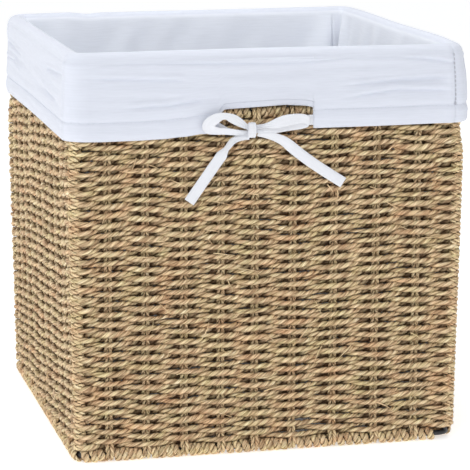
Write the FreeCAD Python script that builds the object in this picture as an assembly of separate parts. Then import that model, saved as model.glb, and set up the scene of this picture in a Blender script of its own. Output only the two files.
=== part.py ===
"""Seagrass storage basket on a steel wire frame, with a lift-out cotton liner.

Millimetres, +Z up. The origin is on the floor under the middle of the basket, and the front, where
the liner's bow is tied, faces -Y. The basket is a welded wire frame. Cord wraps its rims and hand
holes, doubled cord stakes hook from rim to rim, and a rope is woven over and under the stakes round
all four sides. The liner hangs inside, folds over the top rim as a cuff, and a tape in the cuff's
hem is tied at the front.
"""
import FreeCAD, Part
import math
import os

from FreeCAD import Vector

# ---- driving dimensions -------------------------------------------------------------------------
SIDE = 310.0            # outside of the weave, the same on all four sides
RIM_TOP = 315.0         # floor to the top of the wrapped top rim
WALL = 11.0             # thickness of the weave, and of the wrapped rims
WIRE = 4.0              # steel wire of the frame
RIM_BEND = 9.0          # bend radius of the rim wires at the corners, on their centreline
FIT = 0.1               # room between a cord and what it wraps
BODY_GAP = 0.5          # room between the basket and the liner

HOOK_WIDTH = 7.2        # a doubled stake cord where it turns round a wire
STAKE_WIDTH = 6.8       # and where it runs straight, side by side
STAKE_THICK = 3.4
# Hand-spaced stakes, from the middle of each side.
FRONT_STAKES = (-126.0, -97.0, -67.0, -38.0, -11.0, 19.0, 52.0, 86.0, 119.0)
SIDE_STAKES = (-122.0, -92.0, -63.0, -31.0, 1.0, 30.0, 62.0, 92.0, 123.0)
HOLE_STAKES = (3, 4, 5)  # these end at the hand hole's bar

POST_WRAP = 7.4         # cord wound round each corner post, outside
HOLE_BAR_Z = 268.0      # centreline of the bar under each hand hole
HOLE_BEND = 8.0         # bend radius of the hand hole wire

REST_FLAT = 0.4         # how far the bottom rim's wrap is pressed flat where it bears on the floor
BASE_BOTTOM = 1.1       # the woven base is held just off the floor by the wrapped rim
BASE_THICK = 8.0

CLOTH = 2.0             # cotton with its turnings, drawn at a solid thickness
CUFF_BOTTOM = 250.0     # lower edge of the folded cuff
HEM_HEIGHT = 16.0       # casing along the cuff's lower edge, with the tape inside
HEM_THICK = 3.4
TAPE_WIDTH = 10.0       # drawn tape inside the casing
TAPE_THICK = 0.8
CUT_LEFT = -38.0        # the notch in the front cuff, where the tape comes out
CUT_RIGHT = 36.0
CUT_TOP = 274.0

KNOT_X = -12.0          # middle of the bow's knot
KNOT_WIDTH = 7.2
KNOT_BOTTOM = 249.2
KNOT_TOP = 261.8
KNOT_BACK = 156.4       # distances of the bow's layers from the basket's middle, towards the front
KNOT_FRONT = 162.6
TAIL_BACK = 158.3
LOOP_BACK = 159.8
TAIL_WIDTH = 9.0
TAIL_THICK = 1.2
LOOP_THICK = 1.6
LEFT_TAIL = ((-15.6, 251.0), (-26.0, 251.0), (-33.5, 241.5), (-47.0, 223.0), (-61.9, 202.0))
RIGHT_TAIL = ((-7.5, 252.8), (7.5, 250.0), (22.5, 237.0), (42.0, 222.5), (61.0, 212.0))

# ---- worked out from them -----------------------------------------------------------------------
MID = SIDE / 2 - WALL / 2          # middle of the wall, where the wires and stakes stand
WRAP_R = WALL / 2
BOTTOM_Z = WRAP_R - REST_FLAT      # rim wires' heights
TOP_Z = RIM_TOP - WRAP_R
WALL_BOTTOM = BOTTOM_Z + WRAP_R
WALL_TOP = TOP_Z - WRAP_R
SLEEVE_R = WIRE / 2 + 1.1          # the wrap stays this thick under a stake's hook
EYE_R = WRAP_R - FIT
POST = MID - RIM_BEND + RIM_BEND / math.sqrt(2)
HOLE_LEFT = (FRONT_STAKES[2] + FRONT_STAKES[3]) / 2
HOLE_RIGHT = (FRONT_STAKES[5] + FRONT_STAKES[6]) / 2
BASE_STAKES = [(a + b) / 2 for a, b in zip(FRONT_STAKES, FRONT_STAKES[1:])]
BASE_MID_Z = BASE_BOTTOM + BASE_THICK / 2
BASE_HALF = MID - WRAP_R - FIT
FOLD_IN = WRAP_R + BODY_GAP        # the liner's fold over the rim, inside and outside
FOLD_OUT = FOLD_IN + CLOTH
LINER_BOTTOM = BASE_BOTTOM + BASE_THICK + BODY_GAP
TURNS = {"front": 0, "right": 90, "back": 180, "left": 270}
CORNERS = {"front_left": (-1, -1), "front_right": (1, -1), "back_left": (-1, 1), "back_right": (1, 1)}
ORIGIN = Vector(0, 0, 0)
UP = Vector(0, 0, 1)


def box(low, high):
    size = [b - a for a, b in zip(low, high)]
    return Part.makeBox(size[0], size[1], size[2], Vector(*low))


def turned(shape, side):
    """A front piece, turned round to another side."""
    copy = shape.copy()
    copy.rotate(ORIGIN, UP, TURNS[side])
    return copy


def above_floor(shape):
    return shape.cut(box((-SIDE, -SIDE, -WALL), (SIDE, SIDE, 0)))


def ring_path(half, bend, z):
    """A closed square with rounded corners, starting at the middle of the front."""
    straight = half - bend
    diagonal = straight + bend / math.sqrt(2)
    edges = []
    for side in TURNS.values():
        spin = FreeCAD.Rotation(UP, side)
        start = spin.multVec(Vector(-straight, -half, z))
        end = spin.multVec(Vector(straight, -half, z))
        middle = spin.multVec(Vector(diagonal, -diagonal, z))
        after = spin.multVec(Vector(half, -straight, z))
        edges.append(Part.LineSegment(start, end).toShape())
        edges.append(Part.Arc(end, middle, after).toShape())
    return Part.Wire(edges)


def swept(path, profile, binormal=None):
    """A solid from a closed profile drawn at the path's start."""
    shell = Part.BRepOffsetAPI.MakePipeShell(path)
    if binormal is None:
        shell.setFrenetMode(False)
    else:
        shell.setBiNormalMode(binormal)
    shell.add(profile)
    shell.build()
    shell.makeSolid()
    return shell.shape()


def circle_at(path, radius):
    """A circle square to the path at its start."""
    first = path.OrderedEdges[0]
    start = first.valueAt(first.FirstParameter)
    along = first.tangentAt(first.FirstParameter)
    return Part.Wire([Part.Circle(start, along, radius).toShape()])


def rod(path, radius):
    return swept(path, circle_at(path, radius))


def rounded_prism(half, bend, low, high):
    """A square prism with rounded upright edges."""
    return Part.Face(ring_path(half, bend, low)).extrude(Vector(0, 0, high - low))


def wedge(side):
    """The quarter of space in front of one side, for mitring corners."""
    reach = SIDE
    points = [Vector(0, 0, -reach), Vector(-reach, -reach, -reach), Vector(reach, -reach, -reach)]
    face = Part.Face(Part.makePolygon(points + points[:1]))
    return turned(face.extrude(Vector(0, 0, 3 * reach)), side)


def stakes_of(side):
    return FRONT_STAKES if side in ("front", "back") else SIDE_STAKES


def has_hole(side):
    return side in ("front", "back")


def offsets(side):
    """Stake places along a side as seen from the front, so that front and back stakes line up."""
    return [-x for x in stakes_of(side)] if side == "back" else list(stakes_of(side))


def hole_ends(side):
    """Places of the hand hole wire's legs in the side's own frame."""
    return (-HOLE_RIGHT, -HOLE_LEFT) if side == "back" else (HOLE_LEFT, HOLE_RIGHT)


# ---- the wire frame -----------------------------------------------------------------------------
def hole_path(side, top):
    """The hand hole wire's centreline: down one leg, along the bar and up the other."""
    left, right = hole_ends(side)
    low = HOLE_BAR_Z
    bend = HOLE_BEND
    cut = bend * (1 - 1 / math.sqrt(2))
    points = [
        Vector(left, -MID, top), Vector(left, -MID, low + bend), Vector(left + cut, -MID, low + cut),
        Vector(left + bend, -MID, low), Vector(right - bend, -MID, low),
        Vector(right - cut, -MID, low + cut), Vector(right, -MID, low + bend), Vector(right, -MID, top),
    ]
    edges = [
        Part.LineSegment(points[0], points[1]).toShape(), Part.Arc(*points[1:4]).toShape(),
        Part.LineSegment(points[3], points[4]).toShape(), Part.Arc(*points[4:7]).toShape(),
        Part.LineSegment(points[6], points[7]).toShape(),
    ]
    return Part.Wire(edges)


def rim_wire(z):
    return rod(ring_path(MID, RIM_BEND, z), WIRE / 2)


def hole_wire(side):
    """Its legs are welded to the underside of the top rim wire."""
    wire = rod(hole_path(side, TOP_Z), WIRE / 2)
    return turned(wire, side).cut(rim_wire(TOP_Z))


def corner_post(corner):
    """A straight wire between the rims, welded to both."""
    x, y = corner
    place = Vector(x * POST, y * POST, BOTTOM_Z)
    post = Part.makeCylinder(WIRE / 2, TOP_Z - BOTTOM_Z, place)
    return post.cut(rim_wire(BOTTOM_Z)).cut(rim_wire(TOP_Z))


# ---- stakes: doubled cords hooked round the wires -----------------------------------------------
def hook(x, z):
    """The stake's turn round a wire that runs along X."""
    start = Vector(x - HOOK_WIDTH / 2, -MID, z)
    along = Vector(1, 0, 0)
    outer = Part.makeCylinder(EYE_R, HOOK_WIDTH, start, along)
    return above_floor(outer.cut(Part.makeCylinder(SLEEVE_R + FIT, HOOK_WIDTH, start, along)))


def hook_groove(x, z):
    """The space that a hook takes out of a wrap."""
    start = Vector(x - HOOK_WIDTH / 2 - FIT, -MID, z)
    width = HOOK_WIDTH + 2 * FIT
    along = Vector(1, 0, 0)
    outer = Part.makeCylinder(WALL, width, start, along)
    return outer.cut(Part.makeCylinder(SLEEVE_R, width, start, along))


def flat_bar(x, low, high, room=0.0):
    """The stake's upright run: two cords side by side, round at their outer edges."""
    radius = STAKE_THICK / 2 + room
    reach = STAKE_WIDTH / 2 - STAKE_THICK / 2
    edges = []
    for end in (-1, 1):
        near = Vector(x + end * reach, -MID - end * radius, low)
        far = Vector(x + end * reach, -MID + end * radius, low)
        outermost = Vector(x + end * (reach + radius), -MID, low)
        across = Vector(x - end * reach, -MID + end * radius, low)
        edges.append(Part.Arc(near, outermost, far).toShape())
        edges.append(Part.LineSegment(far, across).toShape())
    return Part.Face(Part.Wire(edges)).extrude(Vector(0, 0, high - low))


def stake_top(side, number):
    """The wire that a stake's upper hook turns round."""
    index = len(FRONT_STAKES) - 1 - number if side == "back" else number
    return HOLE_BAR_Z if has_hole(side) and index in HOLE_STAKES else TOP_Z


def stake(side, number):
    x = sorted(offsets(side))[number]
    top = stake_top(side, number)
    inset = (SLEEVE_R + EYE_R) / 2
    piece = flat_bar(x, BOTTOM_Z + inset, top - inset)
    piece = piece.fuse([hook(x, BOTTOM_Z), hook(x, top)]).removeSplitter()
    return turned(piece, side)


def stakes(side):
    return Part.makeCompound([stake(side, number) for number in range(len(offsets(side)))])


def base_stake(x):
    """A cord across the base, hooked round the front and the back of the bottom rim."""
    inset = (SLEEVE_R + EYE_R) / 2
    bar = flat_bar(x, -(MID - inset), MID - inset)
    bar.rotate(Vector(0, -MID, 0), Vector(1, 0, 0), -90)
    bar.translate(Vector(0, MID, BOTTOM_Z))
    front = hook(x, BOTTOM_Z)
    back = front.copy()
    back.translate(Vector(0, 2 * MID, 0))
    return bar.fuse([front, back]).removeSplitter()


# ---- wraps --------------------------------------------------------------------------------------
def rim_wrap(z):
    """Cord wound round a rim wire, grooved where stakes hook round the wire and posts meet it."""
    wrap = rod(ring_path(MID, RIM_BEND, z), WRAP_R)
    wrap = wrap.cut(rod(ring_path(MID, RIM_BEND, z), WIRE / 2 + FIT))
    tools = []
    for side in TURNS:
        for number, x in enumerate(sorted(offsets(side))):
            if z == BOTTOM_Z or stake_top(side, number) == TOP_Z:
                tools.append(turned(hook_groove(x, z), side))
    for x, y in CORNERS.values():
        low = BOTTOM_Z if z == BOTTOM_Z else TOP_Z - WALL
        place = Vector(x * POST, y * POST, low)
        tools.append(Part.makeCylinder(WIRE / 2 + FIT, WALL, place))
    if z == BOTTOM_Z:
        for x in BASE_STAKES:
            groove = hook_groove(x, z)
            back = groove.copy()
            back.translate(Vector(0, 2 * MID, 0))
            tools.extend([groove, back])
    else:
        for side in ("front", "back"):
            for x in hole_ends(side):
                place = Vector(x, -MID, z - WALL)
                leg = Part.makeCylinder(WIRE / 2 + FIT, WALL, place)
                tools.append(turned(leg, side))
    return above_floor(wrap.cut(tools))


def post_wrap(corner):
    """Cord wound round a corner post, so that the woven rope grips it."""
    x, y = corner
    place = Vector(x * POST, y * POST, WALL_BOTTOM)
    height = WALL_TOP - WALL_BOTTOM
    wrap = Part.makeCylinder(POST_WRAP / 2, height, place)
    return wrap.cut(Part.makeCylinder(WIRE / 2 + FIT, height, place))


def hole_wrap(side):
    """Cord wound round the hand hole wire, under the top rim's wrap."""
    path = hole_path(side, WALL_TOP - FIT)
    wrap = rod(path, WRAP_R).cut(rod(path, WIRE / 2 + FIT))
    grooves = []
    for number, x in enumerate(sorted(offsets(side))):
        if stake_top(side, number) == HOLE_BAR_Z:
            grooves.append(hook_groove(x, HOLE_BAR_Z))
    return turned(wrap.cut(grooves), side)


# ---- the weave ----------------------------------------------------------------------------------
def hole_notch(side):
    """What a hand hole and its wrapped wire take out of the weave, up to the top rim."""
    left, right = hole_ends(side)
    reach = WRAP_R + FIT
    bend = HOLE_BEND + reach
    low = HOLE_BAR_Z - reach
    notch = box((left - reach, -SIDE, low + bend), (right + reach, 0, RIM_TOP))
    notch = notch.fuse(box((left - reach + bend, -SIDE, low), (right + reach - bend, 0, RIM_TOP)))
    for x in (left + HOLE_BEND, right - HOLE_BEND):
        place = Vector(x, -SIDE, low + bend)
        notch = notch.fuse(Part.makeCylinder(bend, SIDE, place, Vector(0, 1, 0)))
    return notch


def weave_wall(side):
    """Rope woven round the stakes, as a closed wall from rim to rim, mitred at the corner posts."""
    outer = rounded_prism(SIDE / 2, RIM_BEND + WRAP_R, WALL_BOTTOM, WALL_TOP)
    wall = outer.cut(rounded_prism(SIDE / 2 - WALL, RIM_BEND - WRAP_R, WALL_BOTTOM, WALL_TOP))
    wall = wall.common(wedge(side))
    tools = []
    for number, x in enumerate(sorted(offsets(side))):
        tools.append(turned(flat_bar(x, 0, stake_top(side, number), FIT), side))
    if has_hole(side):
        tools.append(turned(hole_notch(side), side))
    for x, y in CORNERS.values():
        place = Vector(x * POST, y * POST, 0)
        tools.append(Part.makeCylinder(POST_WRAP / 2 + FIT, RIM_TOP, place))
    return wall.cut(tools)


def weave_base():
    """Rope woven across the base stakes, inside the bottom rim."""
    bend = RIM_BEND - WRAP_R - FIT
    slab = rounded_prism(BASE_HALF, bend, BASE_BOTTOM, BASE_BOTTOM + BASE_THICK)
    channels = []
    for x in BASE_STAKES:
        channel = flat_bar(x, -SIDE, SIDE, FIT)
        channel.rotate(Vector(0, -MID, 0), Vector(1, 0, 0), -90)
        channel.translate(Vector(0, MID, BASE_MID_Z))
        channels.append(channel)
    return slab.cut(channels)


# ---- the liner ----------------------------------------------------------------------------------
def fold_profile():
    """The liner's section at the front: bag wall, fold over the rim, cuff and hem casing."""
    def at(out, z):
        return Vector(0, -(MID + out), z)

    hem_out = FOLD_IN + HEM_THICK
    hem_top = CUFF_BOTTOM + HEM_HEIGHT
    slope = HEM_THICK - CLOTH
    bag_low = LINER_BOTTOM + CLOTH
    lines = [
        (at(-FOLD_OUT, TOP_Z), at(-FOLD_OUT, bag_low)),
        (at(-FOLD_OUT, bag_low), at(-FOLD_IN, bag_low)),
        (at(-FOLD_IN, bag_low), at(-FOLD_IN, TOP_Z)),
        (at(FOLD_IN, TOP_Z), at(FOLD_IN, CUFF_BOTTOM)),
        (at(FOLD_IN, CUFF_BOTTOM), at(hem_out, CUFF_BOTTOM)),
        (at(hem_out, CUFF_BOTTOM), at(hem_out, hem_top)),
        (at(hem_out, hem_top), at(FOLD_OUT, hem_top + slope)),
        (at(FOLD_OUT, hem_top + slope), at(FOLD_OUT, TOP_Z)),
    ]
    edges = [Part.LineSegment(*line).toShape() for line in lines]
    for radius in (FOLD_IN, FOLD_OUT):
        arc = Part.Arc(at(-radius, TOP_Z), at(0, TOP_Z + radius), at(radius, TOP_Z))
        edges.append(arc.toShape())
    return Part.Wire(Part.__sortEdges__(edges))


def band_profile(inner, outer, low, high):
    """An upright rectangle at the front, between two distances from the wall's middle."""
    corners = [
        Vector(0, -(MID + inner), low), Vector(0, -(MID + outer), low),
        Vector(0, -(MID + outer), high), Vector(0, -(MID + inner), high),
    ]
    return Part.makePolygon(corners + corners[:1])


def swept_ring(profile):
    """A profile at the middle of the front, carried round all four sides."""
    loop = ring_path(MID, RIM_BEND, TOP_Z)
    edges = loop.OrderedEdges
    front = edges[0]
    middle = Vector(0, -MID, TOP_Z)
    first_half = Part.LineSegment(middle, front.Vertexes[-1].Point).toShape()
    last_half = Part.LineSegment(front.Vertexes[0].Point, middle).toShape()
    return swept(Part.Wire([first_half] + edges[1:] + [last_half]), profile)


def tape_slot():
    """The space inside the hem casing."""
    middle = FOLD_IN + HEM_THICK / 2
    half = TAPE_THICK / 2 + 2 * FIT
    low = CUFF_BOTTOM + (HEM_HEIGHT - TAPE_WIDTH) / 2 - 5 * FIT
    return swept_ring(band_profile(middle - half, middle + half, low, low + TAPE_WIDTH + 10 * FIT))


def liner_shell():
    """All four side panels together, before they are mitred apart at their corner seams."""
    notch = box((CUT_LEFT, -SIDE, 0), (CUT_RIGHT, -MID, CUT_TOP))
    return swept_ring(fold_profile()).cut([tape_slot(), notch])


def liner_base():
    bend = RIM_BEND - FOLD_IN
    return rounded_prism(MID - FOLD_IN, bend, LINER_BOTTOM, LINER_BOTTOM + CLOTH)


def drawstring():
    """One tape through the casing, with both ends drawn out at the notch to the knot."""
    middle = FOLD_IN + HEM_THICK / 2
    half = TAPE_THICK / 2
    low = CUFF_BOTTOM + (HEM_HEIGHT - TAPE_WIDTH) / 2
    tape = swept_ring(band_profile(middle - half, middle + half, low, low + TAPE_WIDTH))
    gap = box((KNOT_X - KNOT_WIDTH / 2, -SIDE, 0), (KNOT_X + KNOT_WIDTH / 2, 0, SIDE))
    return tape.cut(gap)


def stadium_ring(left, right, low, high, band):
    """A flat closed loop of tape."""
    def plate(inset):
        radius = (high - low) / 2 - inset
        middle = (low + high) / 2
        body = box((left + inset + radius, -LOOP_BACK - LOOP_THICK, middle - radius),
                   (right - inset - radius, -LOOP_BACK, middle + radius))
        for x in (left + inset + radius, right - inset - radius):
            place = Vector(x, -LOOP_BACK - LOOP_THICK, middle)
            body = body.fuse(Part.makeCylinder(radius, LOOP_THICK, place, Vector(0, 1, 0)))
        return body

    return plate(0).cut(plate(band)).removeSplitter()


def bow():
    """The knot with its two loops, lying flat in front of the hem."""
    left = KNOT_X - KNOT_WIDTH / 2
    right = KNOT_X + KNOT_WIDTH / 2
    knot = box((left, -KNOT_FRONT, KNOT_BOTTOM), (right, -KNOT_BACK, KNOT_TOP))
    knot = knot.makeFillet(1.2, knot.Edges)
    left_loop = stadium_ring(left - 40.0, left + 2.0, 253.5, 270.0, 5.5)
    right_loop = stadium_ring(right - 2.0, right + 42.0, 253.0, 267.0, 5.0)
    return knot.fuse([left_loop, right_loop]).removeSplitter()


def cord_path(name, route, depth):
    """Straight runs with the largest tangent arcs that fit, in a plane of the front."""
    points = [Vector(x, -depth, z) for x, z in route]
    edges = []
    last = points[0]
    for before, corner, after in zip(points, points[1:], points[2:]):
        back = before - corner
        ahead = after - corner
        half_turn = (math.pi - back.getAngle(ahead)) / 2
        trim = 0.45 * min(back.Length, ahead.Length)
        radius = trim / math.tan(half_turn)
        print(f"{name}: turn {math.degrees(2 * half_turn):.0f} deg, radius {radius:.1f} mm")
        start = corner + back.normalize() * trim
        end = corner + ahead.normalize() * trim
        inward = (back + ahead).normalize()
        middle = corner + inward * (radius / math.cos(half_turn) - radius)
        edges.append(Part.LineSegment(last, start).toShape())
        edges.append(Part.Arc(start, middle, end).toShape())
        last = end
    edges.append(Part.LineSegment(last, points[-1]).toShape())
    wire = Part.Wire(edges)
    print(f"{name}: length {wire.Length:.1f} mm")
    return wire


def tail(name, route):
    """A free end of the tape, hanging flat in front of the weave."""
    path = cord_path(name, route, TAIL_BACK + TAIL_THICK / 2)
    first = path.OrderedEdges[0]
    start = first.valueAt(first.FirstParameter)
    along = first.tangentAt(first.FirstParameter)
    out = Vector(0, 1, 0)
    across = along.cross(out).normalize() * (TAIL_WIDTH / 2)
    deep = out * (TAIL_THICK / 2)
    corners = [start + across + deep, start - across + deep, start - across - deep, start + across - deep]
    solid = swept(path, Part.makePolygon(corners + corners[:1]), out)
    print(f"{name}: volume {solid.Volume:.1f}, section times length {TAIL_WIDTH * TAIL_THICK * path.Length:.1f}")
    return solid


# ---- all pieces ---------------------------------------------------------------------------------
def all_pieces():
    pieces = {"top_rim_wire": rim_wire(TOP_Z), "bottom_rim_wire": rim_wire(BOTTOM_Z)}
    for name, corner in CORNERS.items():
        pieces[f"corner_post_{name}"] = corner_post(corner)
        pieces[f"corner_wrap_{name}"] = post_wrap(corner)
    pieces["top_rim_wrap"] = rim_wrap(TOP_Z)
    pieces["bottom_rim_wrap"] = rim_wrap(BOTTOM_Z)
    for side in ("front", "back"):
        pieces[f"hand_hole_wire_{side}"] = hole_wire(side)
        pieces[f"hand_hole_wrap_{side}"] = hole_wrap(side)
    shell = liner_shell()
    for side in TURNS:
        pieces[f"stakes_{side}"] = stakes(side)
        pieces[f"weave_{side}"] = weave_wall(side)
        pieces[f"liner_{side}_panel"] = shell.common(wedge(side))
    pieces["base_stakes"] = Part.makeCompound([base_stake(x) for x in BASE_STAKES])
    pieces["base_weave"] = weave_base()
    pieces["liner_base_panel"] = liner_base()
    pieces["drawstring_tape"] = drawstring()
    pieces["tie_bow"] = bow()
    pieces["tie_tail_left"] = tail("tie_tail_left", LEFT_TAIL)
    pieces["tie_tail_right"] = tail("tie_tail_right", RIGHT_TAIL)
    return pieces


def write(name, shape):
    if not shape.isValid():
        print(f"{name}: shape is not valid")
    shape.exportStep(f"parts/{name}.step")
    print(f"{name}: {len(shape.Solids)} solid(s), {shape.Volume / 1000:.2f} cm3")


os.makedirs("parts", exist_ok=True)
for piece_name, piece_shape in all_pieces().items():
    write(piece_name, piece_shape)
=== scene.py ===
import math

import bpy
import numpy as np
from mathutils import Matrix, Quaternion, Vector


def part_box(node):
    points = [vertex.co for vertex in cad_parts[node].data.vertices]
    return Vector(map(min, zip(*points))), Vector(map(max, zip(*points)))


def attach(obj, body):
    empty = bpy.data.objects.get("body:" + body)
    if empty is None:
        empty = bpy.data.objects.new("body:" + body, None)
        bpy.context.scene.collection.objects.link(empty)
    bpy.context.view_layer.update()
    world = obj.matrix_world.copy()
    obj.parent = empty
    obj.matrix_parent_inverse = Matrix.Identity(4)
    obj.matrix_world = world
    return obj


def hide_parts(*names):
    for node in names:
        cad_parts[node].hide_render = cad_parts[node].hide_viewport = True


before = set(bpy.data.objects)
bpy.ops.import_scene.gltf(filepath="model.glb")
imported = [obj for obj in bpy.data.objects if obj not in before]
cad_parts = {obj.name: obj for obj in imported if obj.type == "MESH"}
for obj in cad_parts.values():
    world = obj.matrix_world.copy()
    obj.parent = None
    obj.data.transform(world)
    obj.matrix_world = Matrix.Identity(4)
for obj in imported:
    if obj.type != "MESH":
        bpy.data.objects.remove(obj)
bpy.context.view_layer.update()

SIDES = ("front", "right", "back", "left")
BASKET = "basket"
LINER = "liner"

# ---- sizes, in metres ----
WIRE = 0.004                 # steel wire

# The weft rope and its courses.
ROPE_HIGH = 0.0049           # the rope where it passes a stake
ROPE_LOW = 0.0044            # and where two courses cross between stakes, pressed flat
ROPE_DEEP = 0.0047
ROPE_LAY = 0.0146            # one full twist of the rope's two plies
ROPE_UNEVEN = 0.10           # how much its thickness varies
PLY_MIDDLE = 0.46            # place and width of one ply, as parts of the rope's half size
PLY_WIDE = 0.80
PLY_SIDES = 6
FIBRE_RADIUS = 0.0013        # size of the fibre pattern round a ply
COURSE = 0.00382             # rise from one course to the next
WEAVE_REACH = 0.0031         # how far a course swings out and in of the wall's middle
CORNER_REACH = 0.0027        # it swings less as it turns a corner
SWING_SHAPE = 1.3            # a higher value makes a course flatter on the stakes and steeper between
HOLE_EASE = 0.014            # its swing dies away over this run beside a hand hole
BACK_SPREAD = 0.30           # a course spreads where it passes behind a stake
COURSE_SWAY = 0.0009         # rise and fall shared by neighbouring courses
COURSE_JITTER = 0.00022      # and each course's own
ROWS_PER_SIDE = 184          # points along one side of a course
BELLY = 0.0020               # the walls swell outward by this much
CORNER_OUT = 0.0026          # how far the weave stands outside the posts at the corners
CORNER_SPREAD = 0.0095       # the distance from a corner over which it does so
BELOW_CUFF = 0.020           # the run below the cuff over which it starts to

# Short straws that stand out of the rope.
LOOSE_ENDS = 30              # on each side's lower half, and again on its upper half
STRAW_LENGTH = (0.007, 0.020)
STRAW_HALF_WIDE = (0.00030, 0.00058)
STRAW_OUT = 0.0053           # from the wall's middle

# Painted shade: seagrass is painted darker in the gaps, as shade; each course gets a painted shadow on its
# lower side and painted shade on its upper side and in the plies' groove.
GAP_START = 0.0017           # depth behind the wall's middle where it is darkest
GAP_DEPTH = 0.0022           # and the distance over which it gets light
FACING_SOFT = 0.0006         # how softly a rope's front turns into its back
UNDER_SHADE = 0.62           # darker at the lower side of a course, where it presses on the next
UPPER_SHADE = 0.40           # and at its upper side
GROOVE_SHADE = 0.50          # and where the two plies press together

# Stakes, and cord wound round the wires.
STAKE_CORD = 0.0033          # thickness of one of a stake's two cords
STAKE_LAY = 0.0105
STAKE_SPREAD = 1.03          # the two lie this many thicknesses apart
STAKE_APART = 0.008          # points further apart than this belong to different stakes
SPACES = 10                  # spaces between the stakes and posts of one side
HOOK_RADIUS = 0.0040         # half the width of a stake's hook round a rim wire
LOW_HOOK = 0.0033            # how far the hook reaches below the bottom rim wire's middle
WRAP_PITCH = 0.0060
WRAP_WIDE = 0.0062
WRAP_DEEP = 0.0036
WRAP_RADIUS = 0.0037         # from the wire's middle to the wound cord's
WOUND_LAY = 0.0105
WOUND_ROWS = 16              # points to each turn of a wound cord
GAP_ROWS = 4                 # and to each gap in the winding
HOOK_GAP = 0.0070            # gap in the winding for a stake's hook
BARE_RUN = 0.011             # bare wire before the front right bottom corner
HOLE_BEND = 0.008            # bend radius of the hand hole wires
RIM_BEND = 0.009             # and of the rim wires
POST_PITCH = 0.0044
POST_WIDE = 0.95 * POST_PITCH
POST_DEEP = 0.0027
POST_RADIUS = 0.0038         # from the middle of a post to its wound cord
POST_OUT = 0.0013            # the wound cord stands towards the outside of the corner

# The woven base.
BASE_COURSE = 0.0039
BASE_ROPE = 0.0041
BASE_REACH = 0.0019
BASE_JITTER = 0.0002
BASE_ROWS = 200              # points along each of its stake cords

# The cotton liner.
CLOTH = 0.0009
FOLD_RADIUS = 0.0066         # from the rim wire's middle to the cloth folded over it
HEM_TURN = 0.0128            # height of the hem casing
HEM_BULGE = 0.0011           # how far the casing stands out, full of tape
HEM_INNER = 0.0061           # the casing's inner layer, close to the weave
HEM_PINCH = 0.0010           # the stitching draws the cuff in, just above the casing
NOTCH_LEFT = -0.0420         # the cut in the front cuff that shows the hand hole's bar
NOTCH_RIGHT = 0.0333
NOTCH_SIDE = 0.0003          # how far along the hem each of its steep sides goes
NOTCH_TURN = 0.0035          # height of its narrow hem
CREASE = 0.00040             # fine creases all over the cuff
FOLD_DEPTH = 0.0015          # the longer folds that run along the cuff
FOLD_WIDE = 0.0015
CALM = 0.016                 # creases and slack fade this near to a corner
TUCK_DEEP = 0.0065           # the bag's slack cloth folds inward beside the back right corner
BESIDE_DEEP = 0.0056         # and beside that, on the back
TUCK_WIDE = 0.008
SLIT_WIDE = 0.0010           # the slit between the two
CORNER_EAR = 0.0007          # the cloth's corners are more pointed than the rim's
EAR_WIDE = 0.0075
# Further down the cuff, and at its hem: the front right, back right, back left and front left corners.
MIDDLE_EARS = (0.0034, 0.0007, -0.0010, 0.0007)
HEM_EARS = (0.0030, 0.0007, -0.0004, 0.0007)
BAG_ROWS = 44                # rows of points up the bag, over the rim, down the cuff and down its hem
FOLD_ROWS = 14
CUFF_ROWS = 68
HEM_ROWS = 14
COLUMN_STEP = 0.0018         # distance between the columns of points
SEAM = 0.1432                # each corner seam, from the middle of its side
SEAM_TOP = 0.3085            # height where its stitches start
SEAM_STITCH = 0.0034
SEAM_DIPS = (0.0007, 0.0007, 0.0007, 0.0002)   # at the end of each side; the front left seam lies flat
SEAM_SOFT = 0.0011           # half the width of each dip
SEAM_DENSE = np.array([0, 0.0004, 0.0008, 0.0012, 0.0017, 0.0024, 0.0034])   # columns beside a seam
HEM_STITCH = 0.0032

# The tape.
TAPE = 0.009                 # its width
TAPE_THICK = 0.0005
TAPE_OUT = 0.0064            # its run inside the casing, from the wall's middle
TAPE_EXIT = 0.0040           # it is gathered narrow where it leaves the hem
BOW_SHIFT = -0.0042          # from the loops' listed edges to their place beside the knot
KNOT = Vector((-0.0163, -0.1619, 0.2560))
KNOT_HALF_WIDE = 0.0031
KNOT_HALF_DEEP = 0.0030
KNOT_HALF_HIGH = 0.0060
LEFT_TAIL = ((-0.0183, -0.1612, 0.2510), (-0.0287, -0.1608, 0.2510), (-0.0362, -0.1600, 0.2415),
             (-0.0497, -0.1596, 0.2230), (-0.0646, -0.1594, 0.2020))
RIGHT_TAIL = ((-0.0117, -0.1612, 0.2530), (0.0048, -0.1608, 0.2506), (0.0193, -0.1600, 0.2380),
              (0.0383, -0.1596, 0.2240), (0.0568, -0.1594, 0.2124))

# ---- colours, light and camera ----
# Painted shade: the colour seagrass takes deep in the weave's gaps.
GAP_PAINTED_SHADE_TONE = (0.17, 0.115, 0.07)
CUFF_TONE = (0.705, 0.733, 0.818)
# Painted light: the bag's inside is painted lighter than the cuff, as light falling inside the bag.
BAG_PAINTED_LIGHT_TONE = (0.82, 0.845, 0.905)
TAPE_TONE = (0.82, 0.835, 0.88)
# Painted shade: the seam thread is painted darker, as shadow along the stitches.
SHADED_THREAD_TONE = (0.50, 0.51, 0.56)
WHITE = (1.0, 1.0, 1.0)
WORLD_LIGHT = 0.51
FLOOR_GLOW = 0.51
KEY_LIGHT = 11.5
FILL_LIGHT = 3
LEFT_LIGHT = 7.5
BACK_LIGHT = 3.5
TOP_LIGHT = 1.8
CAMERA_ANGLES = (-13.8, 11.1, 0.1)   # round from the front, up, and roll
CAMERA_LENS = 177.5
CAMERA_TARGET = (0.0104, 0, 0.1430)
CAMERA_DISTANCE = 1.9346
SEEDS = {"walls": 11, "bottom rim": 23, "top rim": 29, "hand holes": 31, "posts": 41, "stakes": 51,
         "base": 61, "creases": 71, "sags": 72, "liner floor": 75}

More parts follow.
